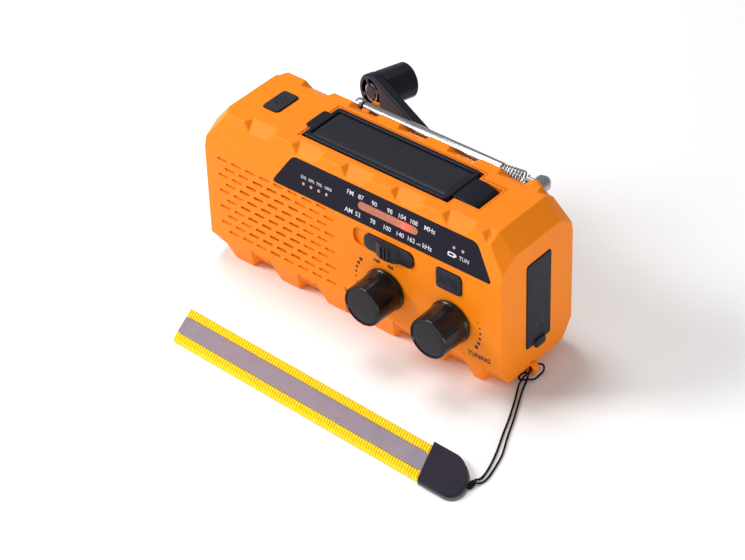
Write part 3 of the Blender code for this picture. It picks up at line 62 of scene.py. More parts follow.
class NodeDesk:
    """A material's node tree with short ways to add and join nodes."""

    def __init__(self, name: str) -> None:
        """Starts an empty Principled material.

        Args:
            name: The material's name.
        """
        self.material = bpy.data.materials.new(name)
        self.material.use_nodes = True
        self.tree = self.material.node_tree
        self.shader = self.tree.nodes["Principled BSDF"]
        self.coordinates = self.tree.nodes.new("ShaderNodeTexCoord")

    def add(self, kind: str, **settings: object) -> bpy.types.Node:
        """Adds a node and sets its plain properties.

        Args:
            kind: The node's type name after "ShaderNode".
            settings: Values for the node's own properties.

        Returns:
            The new node.
        """
        node = self.tree.nodes.new(f"ShaderNode{kind}")
        for key, value in settings.items():
            setattr(node, key, value)
        return node

    def link(self, source: bpy.types.NodeSocket, target: bpy.types.NodeSocket) -> None:
        """Joins two sockets."""
        self.tree.links.new(source, target)

    def noise(self, scale: float, detail: float = 4.0, stretch: Point = (1.0, 1.0, 1.0)) -> bpy.types.NodeSocket:
        """A noise pattern on object coordinates.

        Args:
            scale: How many patches there are to a metre.
            detail: Octaves of finer noise.
            stretch: How much the pattern is squeezed along each axis.

        Returns:
            The socket with the pattern's value.
        """
        mapping = self.add("Mapping")
        mapping.inputs["Scale"].default_value = stretch
        self.link(self.coordinates.outputs["Object"], mapping.inputs["Vector"])
        texture = self.add("TexNoise")
        texture.inputs["Scale"].default_value = scale
        texture.inputs["Detail"].default_value = detail
        self.link(mapping.outputs["Vector"], texture.inputs["Vector"])
        return texture.outputs["Fac"]

    def feed(self, target: bpy.types.NodeSocket, value: Value) -> None:
        """Joins a socket to another, or sets it to a number or a colour."""
        if isinstance(value, bpy.types.NodeSocket):
            self.link(value, target)
        else:
            target.default_value = (*value, 1.0) if isinstance(value, tuple) else value

    def math(self, operation: str, *values: Value) -> bpy.types.NodeSocket:
        """The result of a Math node whose inputs are sockets or numbers."""
        node = self.add("Math", operation=operation)
        for target, value in zip(node.inputs, values):
            self.feed(target, value)
        return node.outputs[0]

    def ramp(
        self, value: bpy.types.NodeSocket, low: float, high: float, start: float = 0.3, end: float = 0.7
    ) -> bpy.types.NodeSocket:
        """Maps the part of a pattern between start and end onto a range of numbers."""
        node = self.add("MapRange")
        node.inputs["From Min"].default_value = start
        node.inputs["From Max"].default_value = end
        node.inputs["To Min"].default_value = low
        node.inputs["To Max"].default_value = high
        self.link(value, node.inputs["Value"])
        return node.outputs["Result"]

    def mix(
        self, factor: bpy.types.NodeSocket, first: Value, second: Value, kind: str = "RGBA"
    ) -> bpy.types.NodeSocket:
        """Blends two colours, or two numbers with kind FLOAT, by a pattern."""
        node = self.add("Mix", data_type=kind)
        self.link(factor, node.inputs["Factor"])
        self.feed(node.inputs["A"], first)
        self.feed(node.inputs["B"], second)
        return node.outputs["Result"]

    def bump(self, height: bpy.types.NodeSocket, strength: float, distance_mm: float) -> None:
        """Raises the surface's shading by a pattern.

        Args:
            height: The pattern.
            strength: How much of it is used.
            distance_mm: How high the pattern's full range stands.
        """
        node = self.add("Bump")
        node.inputs["Strength"].default_value = strength
        node.inputs["Distance"].default_value = distance_mm * MM
        self.link(height, node.inputs["Height"])
        self.link(node.outputs["Normal"], self.shader.inputs["Normal"])

    def set(self, **values: Value) -> None:
        """Sets or joins the shader's own sockets, named with underscores for spaces."""
        for key, value in values.items():
            self.feed(self.shader.inputs[key.replace("_", " ")], value)


@dataclass(frozen=True)
class MouldedPlastic:
    """A plastic straight from a spark-textured mould."""

    name: str
    colour: Colour
    light: Colour
    roughness: float = 0.45
    grain: float = 2600.0
    relief: float = 0.02
    specular: float = 0.2

    def make(self) -> bpy.types.Material:
        """Returns the material: faint cloudiness in colour and gloss, and the mould's fine grain."""
        desk = NodeDesk(self.name)
        cloud = desk.noise(28.0, 3.0)
        desk.set(Base_Color=desk.mix(cloud, self.colour, self.light))
        fine = desk.noise(self.grain, 2.0)
        desk.set(Roughness=desk.ramp(fine, self.roughness - 0.05, self.roughness + 0.06))
        desk.bump(fine, 0.5, self.relief)
        desk.set(Specular_IOR_Level=self.specular, IOR=1.5)
        return desk.material


@dataclass(frozen=True)
class GlossPlastic:
    """A polished or lacquered plastic with faint wipe marks in its gloss."""

    name: str
    colour: Colour
    roughness: float = 0.12
    coat: float = 0.5
    glow: float = 0.0
    specular: float = 0.15

    def make(self) -> bpy.types.Material:
        """Returns the material."""
        desk = NodeDesk(self.name)
        wipes = desk.noise(90.0, 5.0, (1.0, 4.0, 1.0))
        desk.set(Roughness=desk.ramp(wipes, self.roughness, self.roughness + 0.08))
        dust = desk.noise(900.0, 2.0)
        lighter = tuple(min(1.0, value * 1.25 + 0.002) for value in self.colour)
        desk.set(Base_Color=desk.mix(dust, self.colour, lighter))
        desk.set(Coat_Weight=self.coat, Coat_Roughness=0.08, Coat_IOR=1.3, Specular_IOR_Level=self.specular)
        # Glow is real light on the lamp's chips and the torch's LED, and painted light on the pointer, which is no
        # lamp.
        if self.glow:
            desk.set(Emission_Color=self.colour, Emission_Strength=self.glow)
        return desk.material


@dataclass(frozen=True)
class SoftRubber:
    """A matt elastomer that greys a little where it is handled."""

    name: str
    colour: Colour
    worn: Colour
    roughness: float = 0.62

    def make(self) -> bpy.types.Material:
        """Returns the material."""
        desk = NodeDesk(self.name)
        patches = desk.noise(120.0, 6.0)
        desk.set(Base_Color=desk.mix(patches, self.colour, self.worn))
        grain = desk.noise(3400.0, 2.0)
        desk.set(Roughness=desk.ramp(grain, self.roughness - 0.06, self.roughness + 0.08))
        desk.bump(grain, 0.6, 0.02)
        desk.set(Sheen_Weight=0.05, Sheen_Roughness=0.5, Specular_IOR_Level=0.2)
        return desk.material


@dataclass(frozen=True)
class Metal:
    """A bare or plated metal with fine drawing lines along one axis."""

    name: str
    colour: Colour
    roughness: float = 0.18
    lines: Point = (1.0, 30.0, 30.0)
    relief: float = 0.002

    def make(self) -> bpy.types.Material:
        """Returns the material."""
        desk = NodeDesk(self.name)
        drawn = desk.noise(160.0, 4.0, self.lines)
        desk.set(Roughness=desk.ramp(drawn, self.roughness * 0.7, self.roughness * 1.3))
        darker = tuple(value * 0.94 for value in self.colour)
        desk.set(Base_Color=desk.mix(drawn, darker, self.colour))
        if self.relief:
            desk.bump(drawn, 0.4, self.relief)
        desk.set(Metallic=1.0)
        return desk.material


@dataclass(frozen=True)
class ClearPlastic:
    """A clear or tinted moulding that light passes through."""

    name: str
    colour: Colour
    roughness: float = 0.08
    transmission: float = 0.9

    def make(self) -> bpy.types.Material:
        """Returns the material."""
        desk = NodeDesk(self.name)
        ripple = desk.noise(260.0, 2.0)
        desk.set(Roughness=desk.ramp(ripple, self.roughness, self.roughness + 0.05))
        paler = tuple(min(1.0, value * 1.08) for value in self.colour)
        desk.set(Base_Color=desk.mix(ripple, self.colour, paler))
        desk.set(Transmission_Weight=self.transmission, IOR=1.45)
        return desk.material


@dataclass(frozen=True)
class SolarGlaze:
    """Solar strips under resin: dark silicon with pale collector lines across the lid."""

    name: str
    silicon: Colour = (0.012, 0.012, 0.018)
    line: Colour = (0.045, 0.046, 0.064)
    pitch: float = SOLAR_PITCH

    def make(self) -> bpy.types.Material:
        """Returns the material."""
        desk = NodeDesk(self.name)
        split = desk.add("SeparateXYZ")
        desk.link(desk.coordinates.outputs["Object"], split.inputs["Vector"])
        saw = desk.math("PINGPONG", desk.math("MULTIPLY", split.outputs["X"], 1.0 / (self.pitch * MM)), 0.5)
        edge = desk.ramp(saw, 1.0, 0.0, 0.05, 0.16)
        edge.node.interpolation_type = "SMOOTHSTEP"
        grains = desk.noise(420.0, 3.0, (1.0, 0.15, 1.0))
        uneven = desk.math("MULTIPLY", edge, desk.ramp(grains, 0.65, 1.0))
        desk.set(Base_Color=desk.mix(uneven, self.silicon, self.line))
        desk.bump(edge, 0.2, 0.04)
        desk.set(Roughness=0.35, Coat_Weight=0.12, Coat_Roughness=0.25, Specular_IOR_Level=0.12)
        return desk.material


class Across(Enum):
    """Where the bands of the webbing lie, as shares of its width from the far selvage."""

    STRIPE_START = 0.285
    STRIPE_END = 0.765


@dataclass(frozen=True)
class WovenWebbing:
    """Bright woven webbing with a reflective tape stitched along its middle, read from the piece's UV map."""

    name: str
    yellow: Colour
    # The darker orange painted into the grooves between the ribs as shade.
    painted_rib_shade: Colour
    tape: Colour
    ribs: float = WEBBING_RIBS
    warps: float = 26.0

    def make(self) -> bpy.types.Material:
        """Returns the material."""
        desk = NodeDesk(self.name)
        split = desk.add("SeparateXYZ")
        desk.link(desk.coordinates.outputs["UV"], split.inputs["Vector"])
        start, end = Across.STRIPE_START.value, Across.STRIPE_END.value
        inside = desk.math("COMPARE", split.outputs["Y"], (start + end) / 2, (end - start) / 2)
        wave = desk.math("SINE", desk.math("MULTIPLY", split.outputs["X"], self.ribs * 2.0 * math.pi))
        cross = desk.math("SINE", desk.math("MULTIPLY", split.outputs["Y"], self.warps * 2.0 * math.pi))
        weave = desk.math("MULTIPLY_ADD", cross, 0.3, wave)
        lift = desk.math("MULTIPLY_ADD", weave, 0.3, desk.noise(500.0, 4.0))
        # Painted shade: the yarn darkens to the shade colour in the grooves between the ribs, following the weave's
        # height.
        yarn_with_painted_shade = desk.mix(lift, self.painted_rib_shade, self.yellow)
        beads = desk.noise(5200.0, 1.0)
        dull = tuple(value * 0.72 for value in self.tape)
        tape = desk.mix(desk.noise(140.0, 5.0), dull, self.tape)
        desk.set(
            Base_Color=desk.mix(inside, yarn_with_painted_shade, tape),
            Roughness=desk.mix(inside, 0.82, desk.ramp(beads, 0.34, 0.5), "FLOAT"),
        )
        desk.bump(desk.mix(inside, lift, beads, "FLOAT"), 0.5, 0.12)
        return desk.material


@dataclass(frozen=True)
class BraidedCord:
    """A thin matt braided cord with fine stray fibres."""

    name: str
    colour: Colour
    glint: Colour

    def make(self) -> bpy.types.Material:
        """Returns the material."""
        desk = NodeDesk(self.name)
        fibres = desk.noise(2400.0, 3.0)
        desk.set(Base_Color=desk.mix(fibres, self.colour, self.glint))
        desk.bump(fibres, 0.7, 0.08)
        desk.set(Roughness=0.8, Specular_IOR_Level=0.02)
        return desk.material


@dataclass(frozen=True)
class PrintedInk:
    """Screen-printed ink, a little uneven in cover."""

    name: str
    colour: Colour
    roughness: float = 0.5

    def make(self) -> bpy.types.Material:
        """Returns the material."""
        desk = NodeDesk(self.name)
        cover = desk.noise(1500.0, 2.0)
        thin = tuple(value * 0.85 for value in self.colour)
        desk.set(Base_Color=desk.mix(cover, thin, self.colour))
        desk.set(Roughness=self.roughness)
        return desk.material


@dataclass(frozen=True)
class CircuitBoard:
    """Green solder mask with faint copper tracks beneath."""

    name: str
    mask: Colour = (0.01, 0.10, 0.035)
    track: Colour = (0.03, 0.19, 0.07)

    def make(self) -> bpy.types.Material:
        """Returns the material."""
        desk = NodeDesk(self.name)
        cells = desk.add("TexVoronoi", feature="DISTANCE_TO_EDGE", distance="CHEBYCHEV")
        cells.inputs["Scale"].default_value = 240.0
        desk.link(desk.coordinates.outputs["Object"], cells.inputs["Vector"])
        edge = desk.math("LESS_THAN", cells.outputs["Distance"], 0.08)
        desk.set(Base_Color=desk.mix(edge, self.mask, self.track))
        desk.set(Roughness=0.35, Coat_Weight=0.6)
        return desk.material


FINISHES = {
    "orange": MouldedPlastic(
        "orange_case_plastic", (0.88, 0.215, 0.002), (0.92, 0.245, 0.004), 0.45, specular=0.22
    ),
    "panel": GlossPlastic("dial_panel_film", (0.009, 0.0085, 0.018), 0.3, 0.0, specular=0.1),
    "ink_white": PrintedInk("white_ink", (0.78, 0.78, 0.84)),
    "ink_black": PrintedInk("black_ink", (0.012, 0.008, 0.008)),
    "window": ClearPlastic("salmon_window", (0.86, 0.33, 0.20), 0.2, 0.6),
    "salmon": MouldedPlastic("salmon_scale", (0.80, 0.25, 0.15), (0.84, 0.28, 0.17), 0.4),
    # Painted light: the pointer is no lamp, yet glows so that it shows through the salmon window.
    "pointer": GlossPlastic("red_pointer_painted_glow", (0.95, 0.02, 0.10), 0.2, 0.4, 7.0),
    "knob": GlossPlastic("knob_gloss", (0.010, 0.007, 0.007), 0.11, 0.7),
    "cap": MouldedPlastic("satin_cap", (0.014, 0.015, 0.021), (0.019, 0.020, 0.027), 0.38, relief=0.01),
    "black": MouldedPlastic(
        "black_moulding", (0.009, 0.009, 0.016), (0.012, 0.012, 0.021), 0.36, relief=0.015, specular=0.15
    ),
    "grey": MouldedPlastic("grey_moulding", (0.036, 0.035, 0.044), (0.046, 0.045, 0.055), 0.4, relief=0.02),
    "rubber": SoftRubber("button_rubber", (0.014, 0.015, 0.023), (0.020, 0.021, 0.031)),
    "tab_rubber": SoftRubber("tab_rubber", (0.012, 0.010, 0.022), (0.016, 0.014, 0.028)),
    "rim_rubber": SoftRubber("tab_rim_rubber", (0.10, 0.095, 0.10), (0.16, 0.15, 0.155)),
    "chrome": Metal("chrome_plate", (0.44, 0.45, 0.48), 0.26, relief=0.0),
    "steel": Metal("zinc_plate", (0.52, 0.53, 0.55), 0.32, (30.0, 1.0, 30.0)),
    "solar": SolarGlaze("solar_glaze"),
    # The second colour is painted shade for the grooves between the webbing's ribs.
    "webbing": WovenWebbing("strap_webbing", (1.0, 0.80, 0.0), (0.86, 0.50, 0.0), (0.33, 0.275, 0.34)),
    "thread": PrintedInk("dark_thread", (0.16, 0.12, 0.15), 0.8),
    "cord": BraidedCord("cord_braid", (0.004, 0.004, 0.006), (0.012, 0.012, 0.015)),
    "board": CircuitBoard("circuit_board"),
    "nylon": MouldedPlastic("white_nylon", (0.72, 0.71, 0.66), (0.80, 0.79, 0.74), 0.4),
    "paper": SoftRubber("cone_paper", (0.018, 0.016, 0.015), (0.035, 0.030, 0.028), 0.85),
    "wrap": GlossPlastic("cell_wrap", (0.02, 0.10, 0.34), 0.25, 0.3),
    "lens": ClearPlastic("clear_lens", (0.95, 0.96, 0.97), 0.03, 0.95),
    "diffuser": ClearPlastic("milky_lens", (0.90, 0.90, 0.86), 0.35, 0.4),
    "led": GlossPlastic("led_resin", (0.85, 0.80, 0.45), 0.2, 0.6, 0.2),
    "pip": GlossPlastic("light_pip", (0.50, 0.33, 0.30), 0.3, 0.4),
}


class Cupboard:
    """Makes each finish once and hands it out."""

    made: dict[str, bpy.types.Material] = {}

    @classmethod
    def get(cls, key: str) -> bpy.types.Material:
        """Returns the finish's material, made on first use."""
        if key not in cls.made:
            cls.made[key] = FINISHES[key].make()
        return cls.made[key]


# ---- bench: mesh helpers ---------------------------------------------------------------------------


def face_frame(origin: Point, across: Point, up: Point) -> Matrix:
    """A matrix whose X runs across a face, whose Y runs up it and whose Z points out of it.

    Args:
        origin: The frame's origin, in millimetres.
        across: The direction of X.
        up: The direction of Y.

    Returns:
        The 4 by 4 matrix.
    """
    x_way, y_way = Vector(across).normalized(), Vector(up).normalized()
    turned = Matrix((x_way, y_way, x_way.cross(y_way))).transposed().to_4x4()
    turned.translation = origin
    return turned


class Shape:
    """A mesh in the making, in millimetres."""

    def __init__(self) -> None:
        """Starts with no geometry."""
        self.mesh = bmesh.new()

    def box(self, low: Point, high: Point, round_mm: float = 0.0, segments: int = 3) -> list[bmesh.types.BMVert]:
        """Adds a box, with all its edges rounded where asked.

        Args:
            low: One corner.
            high: The opposite corner.
            round_mm: The radius of its edges, or 0.
            segments: Steps in each rounding.

        Returns:
            The vertices of the box before rounding.
        """
        size = [b - a for a, b in zip(low, high)]
        middle = [(a + b) / 2 for a, b in zip(low, high)]
        place = Matrix.Translation(middle) @ Matrix.Diagonal((*size, 1.0))
        verts = bmesh.ops.create_cube(self.mesh, size=1.0, matrix=place)["verts"]
        if round_mm:
            edges = list({edge for vert in verts for edge in vert.link_edges})
            self.bevel(edges, round_mm, segments)
        return verts

    def bar(self, low: Point, high: Point, corner: float, axis: int, lip: float = 0.0, segments: int = 6) -> None:
        """Adds a box with round corners about one axis, and a small lip radius on its end faces.

        Args:
            low: One corner.
            high: The opposite corner.
            corner: Radius of the corners about the axis.
            axis: 0, 1 or 2.
            lip: Radius of the edges of the end faces, or 0.
            segments: Steps in each corner.
        """
        verts = self.box(low, high)
        edges = {edge for vert in verts for edge in vert.link_edges}
        along = [e for e in edges if abs((e.verts[0].co - e.verts[1].co).normalized()[axis]) > 0.99]
        made = self.bevel(along, corner, segments)
        if not lip:
            return
        ends = {face for vert in made for face in vert.link_faces if abs(face.normal[axis]) > 0.99}
        self.bevel(self.rim_of(ends), lip, 3)

    @staticmethod
    def rim_of(faces: set[bmesh.types.BMFace]) -> list[bmesh.types.BMEdge]:
        """The edges round a set of faces."""
        edges = {edge for face in faces for edge in face.edges}
        return [edge for edge in edges if sum(face in faces for face in edge.link_faces) == 1]

    def bevel(self, edges: Iterable[bmesh.types.BMEdge], offset: float, segments: int) -> list[bmesh.types.BMVert]:
        """Rounds edges and returns the vertices of the new faces."""
        result = bmesh.ops.bevel(
            self.mesh,
            geom=list(edges),
            offset=offset,
            segments=segments,
            profile=0.5,
            affect="EDGES",
            material=-1,
            clamp_overlap=False,
        )
        self.mesh.normal_update()
        return result["verts"]

    def rod(self, start: Point, end: Point, radius: float, sides: int = 32) -> None:
        """Adds a closed cylinder between two points."""
        first, last = Vector(start), Vector(end)
        turn = (last - first).to_track_quat("Z", "Y").to_matrix().to_4x4()
        bmesh.ops.create_cone(
            self.mesh,
            cap_ends=True,
            segments=sides,
            radius1=radius,
            radius2=radius,
            depth=(last - first).length,
            matrix=Matrix.Translation((first + last) / 2) @ turn,
        )

    def lathe(self, profile: Sequence[tuple[float, float]], steps: int = 64, place: Matrix | None = None) -> None:
        """Turns an (r, z) profile about Z.

        Args:
            profile: Points of the outline; ends on the axis close the solid.
            steps: Steps round the turn.
            place: Where the turned shape goes.
        """
        before = set(self.mesh.verts)
        verts = [self.mesh.verts.new((radius, 0.0, height)) for radius, height in profile]
        edges = [self.mesh.edges.new(pair) for pair in zip(verts, verts[1:])]
        if profile[0][0] > 1e-6 and profile[-1][0] > 1e-6:
            edges.append(self.mesh.edges.new((verts[-1], verts[0])))
        bmesh.ops.spin(
            self.mesh,
            geom=verts + edges,
            cent=(0, 0, 0),
            axis=(0, 0, 1),
            angle=2 * math.pi,
            steps=steps,
            use_merge=True,
        )
        made = [vert for vert in self.mesh.verts if vert not in before]
        bmesh.ops.remove_doubles(self.mesh, verts=made, dist=1e-4)
        made = [vert for vert in self.mesh.verts if vert not in before]
        if place is not None:
            bmesh.ops.transform(self.mesh, matrix=place, verts=made)

    def hull(self, points: Iterable[Sequence[float]]) -> None:
        """Adds the convex solid round a few points."""
        verts = [self.mesh.verts.new(Vector(point)) for point in points]
        result = bmesh.ops.convex_hull(self.mesh, input=verts)
        spare = [item for item in result["geom_interior"] if isinstance(item, bmesh.types.BMVert)]
        bmesh.ops.delete(self.mesh, geom=spare, context="VERTS")

    def slice(self, point: Vector, normal: Vector) -> None:
        """Cuts the whole mesh by a plane, keeps what lies behind it and closes the cut."""
        whole = self.mesh.verts[:] + self.mesh.edges[:] + self.mesh.faces[:]
        bmesh.ops.bisect_plane(self.mesh, geom=whole, plane_co=point, plane_no=normal, clear_outer=True)
        rim = [edge for edge in self.mesh.edges if edge.is_boundary]
        if rim:
            bmesh.ops.contextual_create(self.mesh, geom=rim)

    def text(self, words: str, height: float, place: Matrix, depth: float = 0.06, bold: float = 0.0) -> None:
        """Adds lettering centred on a face.

        Args:
            words: What it says.
            height: Height of a capital letter.
            place: The frame of the face, at the middle of the lettering.
            depth: How far the letters stand out.
            bold: Extra stroke width.
        """
        curve = bpy.data.curves.new("lettering", "FONT")
        curve.body = words
        curve.align_x = "CENTER"
        curve.align_y = "CENTER"
        curve.size = height * 1.38
        curve.extrude = depth / 2
        curve.offset = bold
        curve.resolution_u = 3
        holder = bpy.data.objects.new("lettering", curve)
        bpy.context.scene.collection.objects.link(holder)
        bpy.context.view_layer.update()
        drawn = bpy.data.meshes.new_from_object(holder.evaluated_get(bpy.context.evaluated_depsgraph_get()))
        drawn.transform(place)
        self.mesh.from_mesh(drawn)
        bpy.data.objects.remove(holder)
        bpy.data.curves.remove(curve)
        bpy.data.meshes.remove(drawn)

    def move(self, place: Matrix) -> "Shape":
        """Moves everything by a matrix and returns the shape."""
        bmesh.ops.transform(self.mesh, matrix=place, verts=self.mesh.verts[:])
        return self

    def take(self, other: "Shape") -> None:
        """Takes in another shape's geometry, and frees that shape."""
        data = bpy.data.meshes.new("taken")
        other.mesh.to_mesh(data)
        self.mesh.from_mesh(data)
        other.mesh.free()
        bpy.data.meshes.remove(data)

    def tools(self) -> list[bpy.types.Object]:
        """Turns the shape into throwaway objects in millimetres, so that no object's solids cross each other."""
        bmesh.ops.recalc_face_normals(self.mesh, faces=self.mesh.faces[:])
        self.mesh.verts.index_update()
        groups: list[list[tuple[set[bmesh.types.BMVert], Vector, Vector]]] = []
        left = set(self.mesh.verts)
        while left:
            solid, edge_of = set(), [next(iter(left))]
            while edge_of:
                vert = edge_of.pop()
                if vert not in solid:
                    solid.add(vert)
                    edge_of += [edge.other_vert(vert) for edge in vert.link_edges]
            left -= solid
            low = Vector([min(vert.co[axis] for vert in solid) for axis in range(3)])
            high = Vector([max(vert.co[axis] for vert in solid) for axis in range(3)])
            for group in groups:
                if not any(all(low[i] <= b[i] and high[i] >= a[i] for i in range(3)) for _, a, b in group):
                    group.append((solid, low, high))
                    break
            else:
                groups.append([(solid, low, high)])
        made = []
        for group in groups:
            kept = set().union(*(solid for solid, _, _ in group))
            part = self.mesh.copy()
            numbers = {vert.index for vert in kept} if len(groups) > 1 else None
            if numbers is not None:
                part.verts.ensure_lookup_table()
                spare = [vert for vert in part.verts if vert.index not in numbers]
                bmesh.ops.delete(part, geom=spare, context="VERTS")
            data = bpy.data.meshes.new("tool")
            part.to_mesh(data)
            part.free()
            holder = bpy.data.objects.new("tool", data)
            bpy.context.scene.collection.objects.link(holder)
            made.append(holder)
        self.mesh.free()
        return made


class Operation(Enum):
    """What a Boolean does with its tool."""

    CUT = "DIFFERENCE"
    JOIN = "UNION"


def combine(base: Shape, *steps: tuple[Operation, Shape]) -> Shape:
    """Cuts a shape by others or joins others to it, and returns the result as a new shape.

    Args:
        base: The shape to work on; its own solids may cross.
        steps: Pairs of an operation and its tool shape.

    Returns:
        The finished shape.
    """
    target, *more = base.tools()
    work = [(Operation.JOIN, tool) for tool in more]
    for operation, shape in steps:
        work += [(operation, tool) for tool in shape.tools()]
    for operation, tool in work:
        modifier = target.modifiers.new("step", "BOOLEAN")
        modifier.operation = operation.value
        modifier.object = tool
        modifier.solver = "MANIFOLD"
    bpy.context.view_layer.update()
    done = bpy.data.meshes.new_from_object(target.evaluated_get(bpy.context.evaluated_depsgraph_get()))
    result = Shape()
    result.mesh.from_mesh(done)
    for tool in (target, *(tool for _, tool in work)):
        data = tool.data
        bpy.data.objects.remove(tool)
        bpy.data.meshes.remove(data)
    bpy.data.meshes.remove(done)
    return result


def sharp_edges(
    shape: Shape, degrees: float, keep: Callable[[Vector], bool] | None = None
) -> list[bmesh.types.BMEdge]:
    """The edges of a shape that turn by more than an angle.

    Args:
        shape: The shape.
        degrees: The smallest turn.
        keep: A test of an edge's middle, or None for all.

    Returns:
        The edges.
    """
    shape.mesh.normal_update()
    found = []
    for edge in shape.mesh.edges:
        if len(edge.link_faces) != 2 or edge.calc_face_angle(0.0) < math.radians(degrees):
            continue
        if keep is None or keep((edge.verts[0].co + edge.verts[1].co) / 2):
            found.append(edge)
    return found


def finish_piece(
    name: str,
    shape: Shape,
    finish: str,
    body: str,
    stands_for: Sequence[str] = (),
    smooth_degrees: float = 40.0,
    flat_faces: bool = False,
) -> None:
    """Turns a shape into a finished piece that rides on a body.

    Args:
        name: The piece's name.
        shape: Its mesh, in millimetres.
        finish: The key of its finish.
        body: The body it moves with.
        stands_for: The nodes it replaces.
        smooth_degrees: Edges that turn by less than this are shaded smooth.
        flat_faces: Whether broad flat faces hold their shading flat right up to their rounded edges.
    """
    bmesh.ops.remove_doubles(shape.mesh, verts=shape.mesh.verts[:], dist=1e-4)
    bmesh.ops.recalc_face_normals(shape.mesh, faces=shape.mesh.faces[:])
    bmesh.ops.scale(shape.mesh, vec=(MM, MM, MM), verts=shape.mesh.verts[:])
    data = bpy.data.meshes.new(name)
    shape.mesh.to_mesh(data)
    shape.mesh.free()
    data.materials.append(Cupboard.get(finish))
    data.shade_smooth()
    data.set_sharp_from_angle(angle=math.radians(smooth_degrees))
    piece = bpy.data.objects.new(name, data)
    bpy.context.scene.collection.objects.link(piece)
    if flat_faces:
        weighted = piece.modifiers.new("flat_faces", "WEIGHTED_NORMAL")
        weighted.keep_sharp = True
        weighted.weight = 100
    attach(piece, body)
    if stands_for:
        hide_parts(*stands_for)
    LOG.info("piece %s: %d faces", name, len(data.polygons))


def wire_piece(
    name: str, points: Sequence[Sequence[float]], radius: float, finish: str, body: str, node: str, detail: int
) -> bpy.types.Object:
    """Makes a round wire that replaces a node and rides on a body.

    Args:
        name: The piece's name.
        points: The wire's middle line, in millimetres.
        radius: The wire's radius.
        finish: The key of its finish.
        body: The body it moves with.
        node: The node it replaces.
        detail: How finely its section is rounded.

    Returns:
        The piece.
    """
    curve = bpy.data.curves.new(name, "CURVE")
    curve.dimensions = "3D"
    curve.bevel_depth = radius * MM
    curve.bevel_resolution = detail
    curve.use_fill_caps = True
    spline = curve.splines.new("POLY")
    spline.points.add(len(points) - 1)
    for slot, point in zip(spline.points, points):
        slot.co = (*(value * MM for value in point), 1.0)
    curve.materials.append(Cupboard.get(finish))
    piece = bpy.data.objects.new(name, curve)
    bpy.context.scene.collection.objects.link(piece)
    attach(piece, body)
    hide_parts(node)
    return piece


def dress(finish: str, *nodes: str) -> None:
    """Gives CAD nodes that keep their own shape a finish."""
    for node in nodes:
        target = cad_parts[node]
        target.data.materials.clear()
        target.data.materials.append(Cupboard.get(finish))
        LOG.info("dressed %s", node)


# ---- the radio -------------------------------------------------------------------------------------


